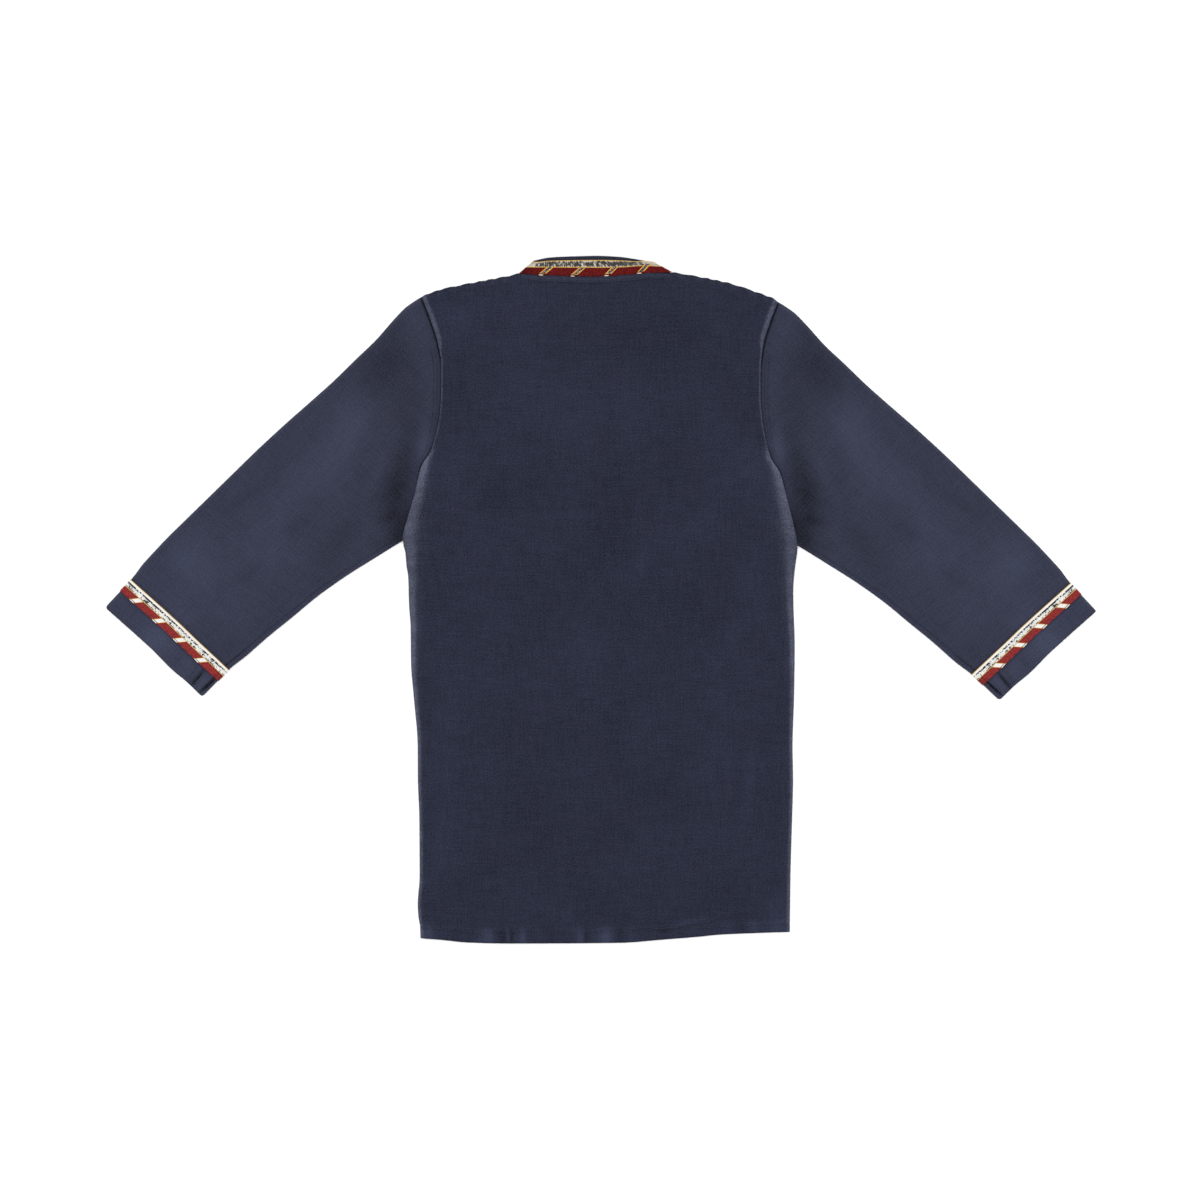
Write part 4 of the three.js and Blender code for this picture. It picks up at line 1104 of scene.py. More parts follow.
def finish_named(name):
    """One of the part's materials, made once from the settings."""
    if name not in made:
        s = bpy.context.scene.kurta
        body, sleeve, red, silver, gold, floor = (
            tuple(getattr(s, f"{key}_colour"))[:3] for key in ("body", "sleeve", "red", "silver", "gold", "floor")
        )
        made[name] = {
            "body": lambda: cloth_finish("body_cloth", body, s.weave_pitch, s.unevenness),
            "sleeve": lambda: cloth_finish("sleeve_cloth", sleeve, s.weave_pitch, 0.62 * s.unevenness),
            "cuff_silver": lambda: cuff_silver_finish("cuff_silver_braid", silver, gold),
            "collar_silver": lambda: collar_silver_finish("collar_silver_braid", silver, gold),
            "red": lambda: red_finish("red_braid", (0.85 * red[0], *red[1:]), 0.15),
            "collar_red": lambda: red_finish("collar_red_braid", red, 0.04),
            "bar": lambda: bar_finish(
                "cuff_braid_bars", (0.68, 0.66, 0.60), (0.52, 0.30, 0.05), silver, 0.12, 0.375
            ),
            "collar_bar": lambda: bar_finish(
                "collar_braid_bars", (0.55, 0.5, 0.42), (0.62, 0.29, 0.035), (0.012, 0.011, 0.012), 0.85, 0.31
            ),
            "gold": lambda: thread_finish("gold_thread", gold, 0.42, 0.2),
            "thread": lambda: thread_finish("navy_thread", (0.036, 0.042, 0.066), 0.7),
            "button": lambda: button_finish("navy_button", (0.02, 0.024, 0.042)),
            "floor": lambda: floor_finish("floor", floor),
        }[name]()
    return made[name]


def shared_group(name):
    if name not in made:
        made[name] = {"stitches": stitch_group, "bars": bar_group}[name]()
    return made[name]


def dress(name, outer, inner, grain, finish, nodes, slot, **options):
    """A shell between two surfaces of x, down and height, in place of its nodes. Grain is its UV in mm."""
    uv = np.stack(np.broadcast_arrays(*grain), -1) / 1000
    return settle(shell(name, points(*outer), points(*inner), uv, finish_named(finish), **options), nodes)


def sew(name, lines, finish, slot, pitch, long, wide, slant, closed=False):
    """Stitches, or the turns of a cord, along lines of points."""
    values = {"Pitch": pitch, "Stitch length": long, "Thread width": wide, "Slant": slant}
    source = line_object("seam_line", lines, closed)
    settle(grown(name, source, shared_group("stitches"), finish_named(finish), values), [])


def sew_bars(place, spots, finish, long, wide, lean, loop_long, loop_wide, below):
    """Slanting bars at spots that each hold a point, the band's direction and the way that the bar faces."""
    source = point_object("bar_points", spots)
    piece = grown(f"{place}_bars", source, shared_group("bars"), finish_named(finish), {
        "Bar length": long, "Bar width": wide, "Thickness": 0.0003, "Lean": lean, "Loop length": loop_long,
        "Loop width": loop_wide, "Loop aside": lean * below, "Loop below": below, "Loop drop": -0.0001,
    })
    settle(piece, [f"{place}_bar_{k + 1}" for k in range(4)])


# Operators


class KurtaOperator:
    bl_options = {"REGISTER"}

    def execute(self, context):
        self.make(context.scene.kurta)
        return {"FINISHED"}


class KURTA_OT_stage(KurtaOperator, bpy.types.Operator):
    """Make the floor, the soft light and the camera above the garment"""
    bl_idname = "kurta.stage"
    bl_label = "Stage"

    def make(self, settings):
        scene = bpy.context.scene
        scene.view_settings.view_transform = "Standard"
        mesh = bpy.data.meshes.new("floor")
        mesh.from_pydata([(-6, -6, -0.0003), (6, -6, -0.0003), (6, 6, -0.0003), (-6, 6, -0.0003)], [], [(0, 1, 2, 3)])
        plain_object("floor", mesh, finish_named("floor"))
        world = bpy.data.worlds.new("studio")
        scene.world = world
        world.use_nodes = True
        world.node_tree.nodes["Background"].inputs[0].default_value = (1, 1, 1, 1)
        world.node_tree.nodes["Background"].inputs[1].default_value = 1.1
        lamps = (
            ("soft_top", (-0.5, 1.5, 2.3), 1.6, 22.0), ("soft_bottom", (0.7, -1.7, 2.2), 1.6, 13.0),
            ("side_left", (-1.9, 0.0, 0.42), 0.8, 6.0), ("side_right", (1.9, 0.0, 0.42), 0.8, 6.0),
        )
        for name, place, size, power in lamps:
            lamp = bpy.data.lights.new(name, "AREA")
            lamp.size, lamp.energy = size, power
            holder = linked(name, lamp)
            holder.location = place
            holder.rotation_euler = (-Vector(place)).to_track_quat("-Z", "Y").to_euler()
        camera = bpy.data.cameras.new("camera")
        camera.lens, camera.sensor_width = LENS, SENSOR
        camera.clip_start, camera.clip_end = 0.1, 50.0
        holder = linked("camera", camera)
        holder.location = (-0.0008, -0.00025, PICTURE_WIDE * LENS / SENSOR + 0.002)
        scene.camera = holder


class KURTA_OT_back(KurtaOperator, bpy.types.Operator):
    """Make the back panel, with its rolled sides, armhole ridges, hem and soft creases"""
    bl_idname = "kurta.back"
    bl_label = "Back"

    def make(self, settings):
        edge = [0, 0.5, 1.1, 1.8, 2.6, 3.5, 4.4, 5.3, 6.2, 7.4, 9, 11, 13.5, 16.5, 20, 24.5, 30, 36]
        top = [0, 0.6, 1.4, 2.4, 3.4, 4.2, 4.8, 5.4, 6, 7, 8.5, 10.5, 13, 16, 20, 25]
        hem = [0, 0.6, 1.4, 2.6, 4, 6, 7.2, 7.9, 8.6, 9.4, 10.2, 10.8, 11.4, 12.2, 13.6, 16, 20, 25]
        u = graded(PANEL_WIDE, edge, edge, 3.1)[None, :]
        v = graded(PANEL_LONG, top, hem, 3.2)[:, None]
        b = back_point(u, v, settings.crease_strength)
        x, down, side, armhole = b["x"], b["down"], b["side"], b["armhole"]
        # Painted highlight along the rolled sides of the back, widest under the arms
        strip_wide = read(STRIP_WIDE, down)
        rub = ramp(down, 184, 204) * read(STRIP_BRIGHT, down) / (1 + (side / strip_wide) ** 5)
        rub = rub * np.where(x < 0, 1.08, 0.98)
        rub = rub * (1 - 0.4 * (1 - ramp(side, 0.5, 3)) * ramp(down, 250, 280) * (1 - ramp(down, 300, 320)))
        rub = rub * (1 + 0.12 * uneven_wave(down, 0.31, 2.0, 0.083) + 0.08 * np.sin(down * 1.3))
        # Painted highlights on the armhole ridges, on the neck's topstitch ridge and on the puckers along the shoulder
        # seams
        low = ramp(down, 80, 98)
        ridge = mix(0.64, 0.50, low) * np.exp(-np.abs((side - mix(2.4, 0.7, low)) / mix(2.1, 1.0, low)) ** 3)
        ridge = ridge * (1 + 0.22 * uneven_wave(down, 0.9, 1.8, 0.21))
        rub = np.maximum(rub, armhole * ridge)
        rub = np.maximum(rub, 0.15 * b["neck"] * near(b["top"], 2.6, 1.9))
        puckers = 0.5 + 0.5 * uneven_wave(x, 0.47, 1.6, 0.11, 0.9)
        rub = np.maximum(rub, 0.16 * puckers ** 2 * near(b["top"], 2.5, 2.2) * (1 - b["neck"]))
        # Painted light and shade of the back's soft folds; then painted shade beside the rolled sides, in the hem's and
        # neck's stitch grooves, along the hem's edge and in the gaps at the armholes
        tone = painted_light_and_shade(x, down, BACK_PAINTED_SHADING)
        tone = tone - 0.14 * ramp(down, 214, 240) * near(side, 1.25 * strip_wide, 1.6)
        tone = tone * (1 - 0.30 * near(b["hem"], b["hem_here"], 0.9))
        tone = tone * (1 - 0.26 * b["neck"] * near(b["top"], 6.0, 1.0))
        tone = tone * (1 - 0.30 * (1 - ramp(b["hem"], 0.2, 1.4)))
        tone = tone * (1 - 0.7 * armhole * (1 - ramp(side, 0, 0.6)))
        # Painted light and shade of the hem's puckers and creases, and a painted highlight where the hem folds over
        light = sum(strength * near(x, place, wide) for place, wide, strength in HEM_PAINTED_SHADING)
        in_hem = 1 - ramp(b["hem"], b["hem_here"] + 0.5, b["hem_here"] + 7)
        uneven = 0.6 + 0.4 * uneven_wave(x, 0.9, 3, 0.13)
        fold_over = 0.3 * near(b["hem"], b["hem_here"] + 1.7, 0.9) * uneven
        tone = tone * (1 + (1.7 * light + 0.10) * in_hem + fold_over)
        tone = tone * (1 + 0.7 * soft_lines(x, down, HEM_CREASES))
        piece = dress(
            "back_cloth", (x, down, b["outer"]), (x, down, b["inner"]), (x, -down), "body", ["back"], "body_cloth",
            tone=tone, rub=rub,
        )


class KURTA_OT_front(KurtaOperator, bpy.types.Operator):
    """Make the front panel that lies on the floor, open down its placket"""
    bl_idname = "kurta.front"
    bl_label = "Front"

    def make(self, settings):
        span = [SHOULDER_LINE[0][0] + 1.0, SHOULDER_LINE[-1][0] - 1.0]
        slit = [(CENTRE_FRONT + side * (PLACKET_HALF + GAP) - span[0]) / (span[1] - span[0]) for side in (-1, 1)]
        even = np.linspace(0, 1, 97)
        even = even[(np.abs(even - slit[0]) > 0.006) & (np.abs(even - slit[1]) > 0.006)]
        u = np.sort(np.concatenate([even[(even <= slit[0]) | (even >= slit[1])], slit]))[None, :]
        v = graded(PANEL_LONG, [0, 1, 2.5], [0, 1, 2.5, 5, 8, 10, 11, 12, 14], 3.8)[:, None]
        x, down, width = panel(FRONT_TOP, HEM_LINE, FRONT_LEFT, FRONT_RIGHT, 1.0, u, v)
        from_side = np.minimum(u, 1 - u) * width
        from_hem, from_top = (1 - v) * PANEL_LONG + 0 * u, v * PANEL_LONG + 0 * u
        rise = PLACKET_RISE * placket_swell(x, down)
        inside = ramp(from_side, 3, 14) * ramp(from_hem, 8, 22) * ramp(from_top, 3, 14)
        lift = (soft_lines(x, down, FRONT_CREASES) + 0.08 + 0.08 * ripple(x, down, 21, 90)) * inside
        lift = lift + 0.14 * near(from_hem, HEM, 1.0) + 0.05 * (1 - inside)
        lift = lift * ramp(np.abs(x - CENTRE_FRONT), PLACKET_HALF + 2, PLACKET_HALF + 16)
        lift = np.clip(lift, 0, 0.42)
        edge = np.clip(1 - np.minimum(from_side, np.minimum(from_top, from_hem)) / 1.2, 0, 1)
        under = rise + lift + 0.25 * quarter(edge)
        upper = rise + lift + CLOTH
        slit_end = NECK_POINT + NECK_DEPTH + PLACKET_LONG
        column = int(np.searchsorted(u[0], slit[0]))
        keep = np.ones((len(v) - 1, u.shape[1] - 1), bool)
        keep[:, column] = down[1:, column] > slit_end
        # Painted shade at the hem's fold and along the rounded edges, and a painted highlight on the sides
        tone = 1 - 0.25 * near(from_hem, HEM, 0.9) - 0.2 * edge
        rub = 0.12 * near(from_side, 0, 3.0)
        piece = dress(
            "front_cloth", (x, down, under), (x, down, upper), (x, -down), "body", ["front"], "body_cloth",
            keep=keep, tone=tone, rub=rub,
        )
        open_rows = int(np.argmax(keep[:, column])) + 1
        made["slit"] = [(x[:open_rows, column + k], down[:open_rows, column + k]) for k in (0, 1)]


class KURTA_OT_placket(KurtaOperator, bpy.types.Operator):
    """Make the two placket strips in the front slit, and their buttons"""
    bl_idname = "kurta.placket"
    bl_label = "Placket and buttons"

    def make(self, settings):
        left, right = made["slit"]
        wide, edge_places = 2 * PLACKET_HALF, [0, 0.5, 1.2, 2.2, 2.8, 3.6]
        for name, node, z, narrow, flat_wide in (
            ("placket_over_cloth", "placket_over", PLACKET_RISE, 0.0, 0.029),
            ("placket_under_cloth", "placket_under", PLACKET_RISE + LAYER, 2.0, 0.025),
        ):
            inward = GAP + narrow
            a, b = left[0] + inward, right[0] - inward
            across = graded(wide, edge_places, edge_places, 2.4)[None, :]
            x = mix(a[:, None], b[:, None], across)
            down = mix(left[1][:, None], right[1][:, None], across)
            down[0] += SOLID_WALL
            down[-1] -= GAP
            from_side = np.minimum(across, 1 - across) * wide
            long = down - down[0]
            groove = 0.18 * near(from_side, 2.5, 0.6)
            wave = 0.08 * ripple(x, down, 31 + int(narrow), 38)
            edge = 0.3 * (1 - ramp(from_side, 0, 0.9))
            under = z + groove + edge + np.abs(wave)
            upper = z + SOLID_WALL - 0.1 - edge - groove * 0.5 - np.abs(wave)
            # Painted shade in the stitched groove and a painted highlight on the strip's edges
            piece = dress(
                name, (x, down, under), (x, down, upper), (x, -long), "body", [node], "body_cloth",
                tone=1 - 1.3 * groove, rub=0.1 * near(from_side, 0, 1.2),
            )
        for k, below in enumerate(BUTTONS_BELOW):
            self.button(k + 1, front_neck_down(0) + below)

    def button(self, number, down):
        angle = np.linspace(0, 2 * math.pi, 57)[:-1][:, None]
        radius = np.array([0.02, 0.5, 0.9, 1.2, 1.5, 1.8, 2.1, 2.4, 2.8, 3.3, 3.7, 4.0, 4.4, 4.9, 5.25, 5.45])[None, :]
        dish = 0.30 * (1 - ramp(radius, 3.3, 4.0)) + 0.28 * ramp(radius, 4.9, 5.5) ** 2
        x, y = radius * np.cos(angle), radius * np.sin(angle)
        holes = sum(
            np.exp(-((np.hypot(x - a, y - b) / 0.62) ** 4)) for a in (-1.1, 1.1) for b in (-1.1, 1.1)
        )
        face = dish + holes * 0.42
        back = 1.2 - 0.28 * ramp(radius, 4.9, 5.5) ** 2 - holes * 0.2 + 0 * angle
        piece = shell(
            f"button_{number}_detail", points(CENTRE_FRONT + x, down + y, face).transpose(1, 0, 2),
            points(CENTRE_FRONT + x, down + y, back).transpose(1, 0, 2),
            np.zeros((radius.shape[1], len(angle) + 1, 2)), finish_named("button"), closed=True,
        )
        settle(piece, [f"button_{number}"])


class KURTA_OT_sleeves(KurtaOperator, bpy.types.Operator):
    """Make both sleeves, folded along their upper edges, with swells, creases and underarm seam"""
    bl_idname = "kurta.sleeves"
    bl_label = "Sleeves"

    def make(self, settings):
        start = np.concatenate([
            [0, 0.4, 0.9, 1.5, 2.2], np.arange(3.1, 24, 1.05), np.arange(24.5, 250, 2.6),
            np.arange(250.5, 260.3, 0.55), [260.7, 261.1, 261.4, 261.65, 261.85, SEAM_LONG],
        ])[:, None]
        ring = ring_places(150, 1.7, 4.6)
        t, angle, part = ring
        top = part == 1
        width = sleeve_width(start)
        from_seam, from_fold = (1 - t) * width, t * width
        from_armhole = (SEAM_LONG - start) * (1 + 1.46 * (1 - t))
        inside = ramp(start, 1, 8) * ramp(from_armhole, 1.5, 9) * ramp(from_seam, 2, 9) * ramp(from_fold, 2, 9)
        seam_line = near(from_seam, 5.2, 0.7) * ramp(from_armhole, 4, 16)
        welt = 1 - ramp(from_seam, 4.2, 5.6)
        tucks = near(from_armhole, 4.0, 0.9) + near(from_armhole, 7.6, 0.9)
        tucks = tucks * ramp(t, 0.14, 0.22) * (1 - ramp(t, 0.62, 0.72))
        sewn_in = 1 - ramp(from_armhole, 0, 2.5)
        for name, arm in ARMS.items():
            beyond = start - arm["trim"]
            bare = 1 - ramp(beyond, -5, -1) * (1 - ramp(beyond, BRAID_WIDE + 2, BRAID_WIDE + 9))
            x, down, z = sleeve_ring(name, start, 0.0, ring)
            inner_x, inner_down, inner_z = sleeve_ring(name, start, -CLOTH, ring)
            places = (x, down) if arm["side"] < 0 else (-x, down - 3)
            cuff_creases = soft_lines(*places, CUFF_CREASES)
            detail = (soft_lines(*places, SLEEVE_CREASES) + cuff_creases) * 0.8
            detail = (detail + 0.18 * ripple(*places, 12, 60) + 0.08 * ripple(x, down, 14, 22)) * inside
            detail = (detail * bare - 0.4 * sewn_in) * top
            z = z + detail + (0.15 * welt - 0.28 * seam_line) * bare * top - 0.12 * tucks * top
            z = z - 0.35 * (1 - ramp(start, 0, 1.3)) * np.sin(angle)
            inner_z = inner_z + detail
            along, across = sleeve_grain(name, x, down)
            grain = np.stack([across * ring_side(ring), along], -1) / 1000
            grain = np.concatenate([grain, grain[:, :1] * [-1, 1]], 1)
            # Broad painted light and shade of the sleeve's soft folds, on its top and edges
            tone = np.where(part >= 0, painted_light_and_shade(*places, SLEEVE_PAINTED_SHADING), 1.0)
            # Painted shade in the underarm seam's groove, and along the cuff's very edge where it rolls under
            painted_seam_shade = mix(0.62, 0.24, ramp(start, 45, 80)) * seam_line * ramp(start, -1, 2)
            tone = tone * (1 - painted_seam_shade * top) * (1 - 0.30 * (1 - ramp(start, 0.2, 1.6)))
            # Painted highlight beside the seam near the cuff
            tone = tone * (1 + 0.25 * near(from_seam, 7.6, 1.1) * (1 - ramp(start, 20, 50)) * top)
            # Painted shadow on the sleeve along both edges of the cuff braid, and painted shade in the tucks by the
            # armhole
            painted_trim_shadow = (0.42 + 0.2 * np.sin(across * 0.7)) * near(beyond, BRAID_WIDE + 1.3, 1.1)
            painted_trim_shadow = painted_trim_shadow + 0.25 * near(beyond, -1.0, 0.8)
            tone = tone * (1 - painted_trim_shadow * (part >= 0)) * (1 - 0.26 * tucks * top)
            # Painted light and shade of the cuff creases, from their heights; then a little lighter from the cuff's
            # edge up to the braid
            tone = tone * np.clip(1 + 0.85 * cuff_creases * top, 0.15, 1.5)
            tone = tone * (1 + 0.10 * (1 - ramp(beyond, -4, 0)) * top)
            # Painted shade: a dark line where the sleeve tucks under the back's armhole edge
            strength = mix(0.92, 0.42, ramp(t, 0.22, 0.30)) + 0.42 * ramp(t, 0.62, 0.68)
            wide = mix(1.5, 0.7, ramp(t, 0.22, 0.30)) + 1.2 * ramp(t, 0.60, 0.66) * (1 - 0.4 * ramp(t, 0.80, 0.90))
            tone = tone * (1 - np.clip(strength, 0, 0.92) * near(from_armhole, 0, wide))
            # Painted highlight on the sleeve's folded upper edge and on its seam edge
            rub = 0.13 * near(from_fold, 0, 2.4) + 0.05 * near(from_seam, 0, 1.6)
            piece = shell(
                f"sleeve_{name}_cloth", points(x, down, z), points(inner_x, inner_down, inner_z), grain,
                finish_named("sleeve"), closed=True, tone=tone, rub=rub,
            )
            settle(piece, [f"sleeve_{name}"])


class KURTA_OT_collar(KurtaOperator, bpy.types.Operator):
    """Make the band collar round the neck"""
    bl_idname = "kurta.collar"
    bl_label = "Collar"

    def make(self, settings):
        stations = collar_stations()
        height = np.array([
            0, 0.4, 1, 2.5, 4.5, 6.5, 8.5, 10.5, 12.5, 14.5, 15.6, 16.6, 17.3, 18, 18.7, 19.2, COLLAR_HIGH,
        ])[None, :]
        edge = np.clip(1 - np.minimum(height, COLLAR_HIGH - height) / 0.9, 0, 1)
        rounded = 0.3 * quarter(edge)
        groove = 0.12 * near(height, 17.6, 0.5)
        outer = collar_face(stations, height, 0.5 - rounded - groove)
        inner = collar_face(stations, height, -0.5 + rounded)
        along = along_line(outer[0], outer[1])[:, None]
        # Painted shade in the topstitch groove and on the rounded edges, and a faint painted highlight on the edges
        tone = 1 - 0.3 * groove / 0.12 - 0.15 * edge
        piece = dress(
            "collar_cloth", outer, inner, (along, height), "body", ["collar"], "body_cloth",
            tone=tone + 0 * along, rub=0.05 * edge + 0 * along,
        )


def braid_profile(mm):
    """Height of the silver band across it: corded edges, ribbed middle and a plain strip."""
    cord = near(mm, 0.3, 0.3) + near(mm, 8.1, 0.3)
    middle = np.clip(1 - ((mm - 2.6) / 1.2) ** 2, 0, 1)
    plain = np.clip(1 - ((mm - 6.5) / 1.1) ** 2, 0, 1)
    return 0.16 * cord + 0.14 * middle + 0.12 * plain


SILVER_MM = np.array([
    0, 0.15, 0.3, 0.45, 0.6, 0.9, 1.2, 1.5, 1.9, 2.4, 2.9, 3.4, 3.7, 4.1, 4.6, 5.1, 5.5, 6, 6.5, 7, 7.4, 7.7,
    7.95, 8.15, 8.3, 8.4,
])


def red_profile(mm):
    return 0.14 * np.clip(1 - ((mm - 3.5) / 3.5) ** 2, 0, 1)


class KURTA_OT_cuff_braid(KurtaOperator, bpy.types.Operator):
    """Make the braid round both cuffs: red and silver bands, gold cords, and slanting bars"""
    bl_idname = "kurta.cuff_braid"
    bl_label = "Cuff braid"

    def make(self, settings):
        ring = ring_places(CUFF_ACROSS, 1.0, 1.6)
        t, _, part = ring
        round_band = np.append(ring_side(ring) * t, -1) * CUFF_ACROSS
        from_seam = (1 - t) * CUFF_ACROSS
        seam_line = near(from_seam, 4.6, 0.9) * (part == 1)
        # Painted shade at the seam's folded edge and along the seam line
        tone = 1 - 0.35 * near(from_seam, 0, 2.5) - 0.45 * seam_line
        red_mm = np.array([0, 0.35, 0.8, 1.6, 2.6, 3.6, 4.6, 5.6, 6.4, 6.9])
        for name, arm in ARMS.items():
            silver_from = arm["trim"] + RED_WIDE + GAP
            for label, first, mm, swell, finish in (
                ("red", arm["trim"], red_mm, 0.25 + red_profile(red_mm), "red"),
                ("silver", silver_from, SILVER_MM, 0.36 + braid_profile(SILVER_MM), "cuff_silver"),
            ):
                outer, inner = (sleeve_ring(name, first + mm, grow, ring) for grow in (GAP + swell, 0.12))
                dress(
                    f"cuff_{name}_{label}", outer, inner, (round_band[None, :], mm[:, None]), finish,
                    [f"cuff_{name}_braid_{label}"], f"braid_{label}", closed=True, sharp=60, tone=tone,
                )
            cords = []
            for mm in CUFF_CORDS:
                x, down, z = sleeve_ring(name, silver_from + mm, 0.62, ring)
                cords.append(points(x[0], down[0], np.maximum(z[0], CUFF_CORD_LOW)))
            sew(
                f"cuff_{name}_gold_cords", cords, "gold", "braid_silver",
                pitch=0.00085, long=0.0011, wide=CORD_WIDE, slant=0.55, closed=True,
            )
            self.bars(name, arm)

    def bars(self, name, arm):
        """Bars on both sides of the cuff, square to the face that they lie on and leaning towards the seam."""
        centre = arm["trim"] + BAR_CENTRE
        hidden = np.arange(BAR_PITCH - arm["bars"][0], CUFF_ACROSS - 6, BAR_PITCH)
        spots = []
        for across, up in [(a, 1.0) for a in arm["bars"]] + [(a, -1.0) for a in hidden]:
            t = across / CUFF_ACROSS
            spot = points(*sleeve_plan(name, centre, t), 0.0)
            shoulder = points(*sleeve_plan(name, centre + 2, t), 0.0) - spot
            seam = points(*sleeve_plan(name, centre, t + 0.02), 0.0) - spot
            beside = np.cross(shoulder / np.linalg.norm(shoulder), (0.0, 0.0, up))
            lean = math.tan(BAR_SLANT) * math.copysign(1, np.dot(beside, seam) * up)
            spot[2] += (sleeve_height(centre, t) + GAP + 0.52 if up > 0 else 0.36) / 1000
            spots.append((spot, beside, (0.0, 0.0, up)))
        sew_bars(
            f"cuff_{name}", spots, "bar", long=0.0060, wide=BAR_WIDE / 1000, lean=lean,
            loop_long=0.0066, loop_wide=0.0009, below=-0.0041,
        )


class KURTA_OT_collar_braid(KurtaOperator, bpy.types.Operator):
    """Make the braid round the collar: red and silver bands, gold cords, and slanting bars"""
    bl_idname = "kurta.collar_braid"
    bl_label = "Collar braid"

    def make(self, settings):
        stations = collar_stations(120, 200)
        head_x, up = stations[:, 2], stations[:, 6]
        face = 0.5 + GAP
        lens = ramp(head_x, -74, -58) * (1 - ramp(head_x, 30, 46))
        red_top = COLLAR_RED_TOP + 3.2 * ramp(head_x, 14, 58) + 1.0 * (1 - ramp(head_x, -68, -54))
        silver_from = red_top + GAP
        silver_top = mix(COLLAR_HIGH - 0.1, COLLAR_SILVER_TOP + 0.9, lens)
        cream = 1 + 0.9 * (1 - ramp(head_x, -66, -58) * (1 - ramp(head_x, 38, 50)))
        deep = 0.40 * mix(0.62, 1, ramp(head_x, -68, -50))
        red_foot = 0.2 - 1.1 * np.clip(up, 0, 1)
        red_mm = np.array([0, 0.35, 0.8, 1.6, 2.6, 3.6, 4.6, 5.6, 6.6, 7.2])
        for label, low, high, mm, swell, tone in (
            ("red", red_foot, red_top, red_mm, 0.3 + red_profile(red_mm), deep),
            ("silver", silver_from, silver_top, SILVER_MM, 0.34 + braid_profile(SILVER_MM), cream),
        ):
            height = mix(low[:, None], high[:, None], mm / mm[-1])
            outer = collar_face(stations, height, (face + swell)[None, :])
            inner = collar_face(stations, height, 0.6)
            along = along_line(outer[0], outer[1])[:, None]
            dress(
                f"collar_{label}", outer, inner, (along, mm[None, :]), f"collar_{label}",
                [f"collar_braid_{label}"], f"braid_{label}", sharp=60, tone=tone[:, None],
            )
        cords = []
        for height in (silver_from + 0.3, silver_top - 0.3):
            x, down, z = collar_face(stations, height[:, None], face + 0.36)
            cords.append(points(x[:, 0], down[:, 0], np.maximum(z[:, 0], COLLAR_CORD_LOW)))
        sew(
            "collar_gold_cords", cords, "gold", "braid_silver",
            pitch=0.00145, long=0.0013, wide=CORD_WIDE, slant=0.7,
        )
        spots = []
        level = COLLAR_LOW + 2 * COLLAR_TURN + face + BRAID_THICK + 0.12
        for centre, lift in COLLAR_BARS:
            foot = read(COLLAR_FOOT, centre)
            rise = read(COLLAR_FOOT, centre + 4) - read(COLLAR_FOOT, centre - 4)
            spots.append((points(centre, foot - lift, level), (8.0, -rise, 0.0), (0.0, 0.0, 1.0)))
        half = NECK_HALF - 1.2
        for t in FRONT_BARS:
            slope = -2 * NECK_DEPTH * t / half
            along = np.array([1.0, -slope, 0.0]) / math.hypot(1, slope)
            across = np.array([-along[1], along[0], 0.0])
            place = points(NECK_MIDDLE + half * t, front_neck_down(t) - 1.0, 0.5) + across * 0.0036
            spots.append((place, -along, (0.0, 0.0, -1.0)))
        sew_bars(
            "collar", spots, "collar_bar", long=0.0068, wide=0.0066, lean=math.tan(BAR_SLANT + 0.12),
            loop_long=0.0046, loop_wide=0.0010, below=-0.0049,
        )


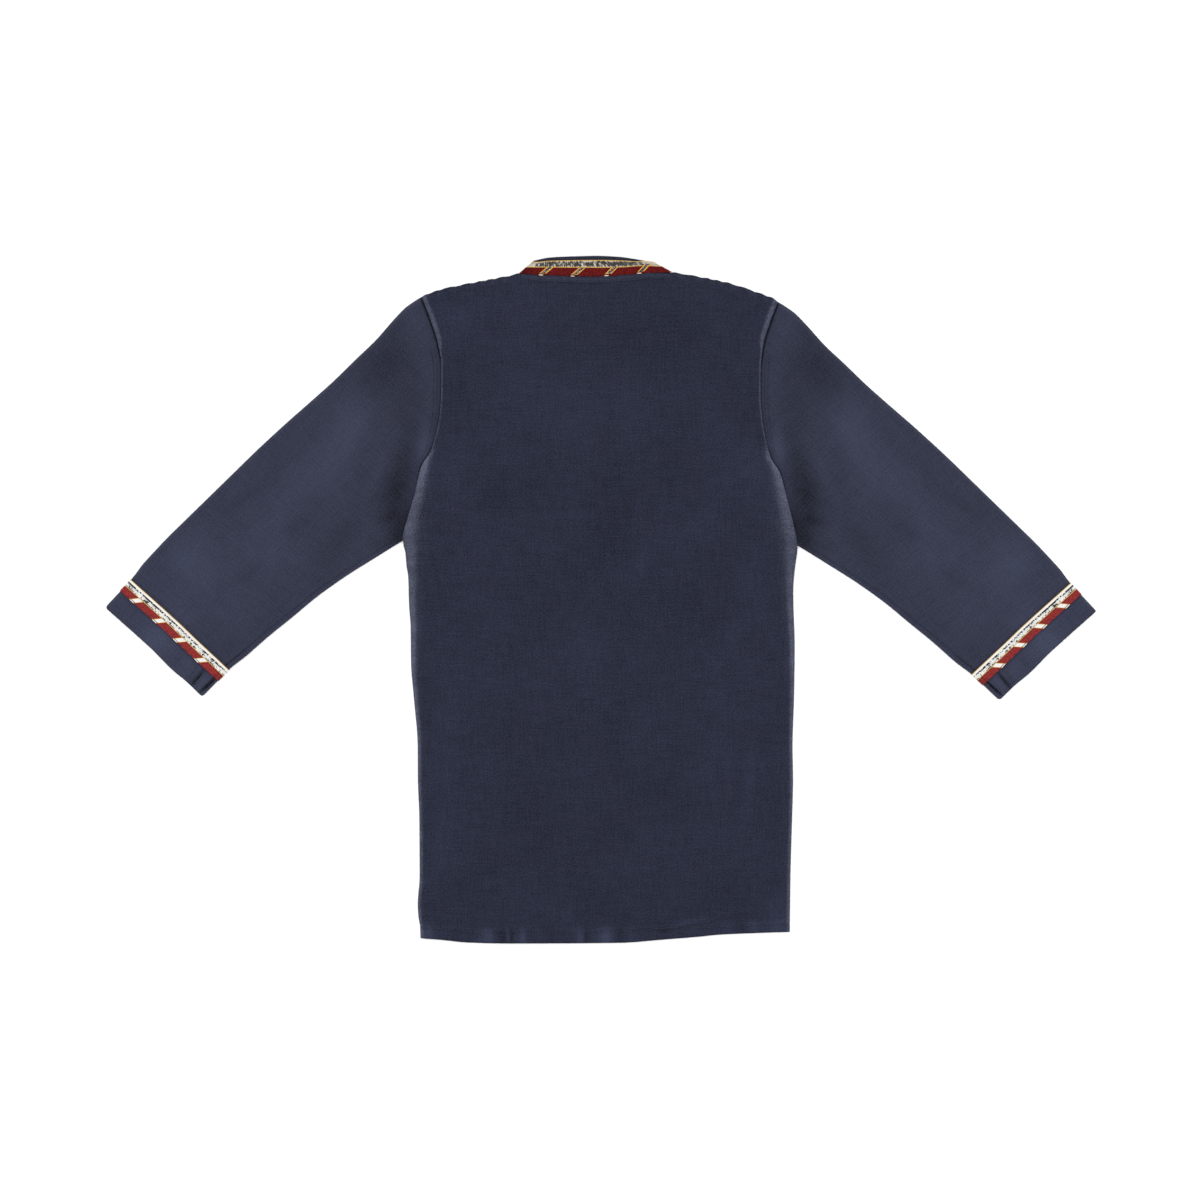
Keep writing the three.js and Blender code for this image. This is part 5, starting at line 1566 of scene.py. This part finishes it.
class KURTA_OT_stitching(KurtaOperator, bpy.types.Operator):
    """Sew the hems, neck, cuffs, collar and placket"""
    bl_idname = "kurta.stitching"
    bl_label = "Stitching"

    def make(self, settings):
        stitches = (settings.stitch_pitch, settings.stitch_length, settings.thread_width, 0.06)
        across = np.linspace(0.006, 0.994, 400)
        hem_here = mix(HEM, HEM - 3, ramp(mix(HEM_LINE[0][0], HEM_LINE[-1][0], across), 84, 112))
        hem = back_point(across, 1 - hem_here / PANEL_LONG, settings.crease_strength)
        first, last = SHOULDER_LINE[0][0], SHOULDER_LINE[-1][0]
        ends = [(x - first) / (last - first) for x in (NECK_LEFT + 12, NECK_RIGHT - 12)]
        neck_at = np.linspace(*ends, 160)
        neck = back_point(neck_at, 5.2 / PANEL_LONG + 0 * neck_at, settings.crease_strength)
        lines = [points(b["x"], b["down"], b["outer"] + 0.07) for b in (hem, neck)]
        sew("body_stitches", lines, "thread", "body_cloth", *stitches)
        ring = ring_places(CUFF_ACROSS, 3.0, 4.6)
        on_top = ring[2] == 1
        cuffs = [[row[0][on_top] for row in sleeve_ring(name, 1.9, 0.02, ring)] for name in ARMS]
        sew("cuff_stitches", [points(*line) for line in cuffs], "thread", "sleeve_cloth", *stitches)
        x, down, z = collar_face(collar_stations(), np.array([[17.6]]), 0.42)
        lines = [points(x[:, 0], down[:, 0], z[:, 0])]
        left, right = made["slit"]
        for (x, down), inward in ((left, 2.8), (right, -2.8)):
            lines.append(points(x[2:-1] + inward, down[2:-1], PLACKET_RISE + 0.18))
        x, down, _ = panel(FRONT_TOP, HEM_LINE, FRONT_LEFT, FRONT_RIGHT, 1.0, across, 1 - HEM / PANEL_LONG)
        lines.append(points(x, down, 0.34))
        sew("hidden_stitches", lines, "thread", "body_cloth", *stitches)


class KURTA_PT_panel(bpy.types.Panel):
    bl_idname = "KURTA_PT_panel"
    bl_label = "Laid-out kurta"
    bl_space_type = "VIEW_3D"
    bl_region_type = "UI"
    bl_category = "Kurta"

    def draw(self, context):
        for name in KurtaSettings.__annotations__:
            self.layout.prop(context.scene.kurta, name)
        for operator in OPERATORS:
            self.layout.operator(operator.bl_idname)


OPERATORS = (
    KURTA_OT_stage, KURTA_OT_front, KURTA_OT_back, KURTA_OT_placket, KURTA_OT_sleeves, KURTA_OT_collar,
    KURTA_OT_cuff_braid, KURTA_OT_collar_braid, KURTA_OT_stitching,
)


def register():
    for item in (KurtaSettings, *OPERATORS, KURTA_PT_panel):
        bpy.utils.register_class(item)
    bpy.types.Scene.kurta = bpy.props.PointerProperty(type=KurtaSettings)


def unregister():
    del bpy.types.Scene.kurta
    for item in reversed((KurtaSettings, *OPERATORS, KURTA_PT_panel)):
        bpy.utils.unregister_class(item)


def main():
    register()
    bpy.ops.kurta.stage()
    bpy.ops.kurta.front()
    bpy.ops.kurta.back()
    bpy.ops.kurta.placket()
    bpy.ops.kurta.sleeves()
    bpy.ops.kurta.collar()
    bpy.ops.kurta.cuff_braid()
    bpy.ops.kurta.collar_braid()
    bpy.ops.kurta.stitching()


if __name__ == "__main__":
    main()
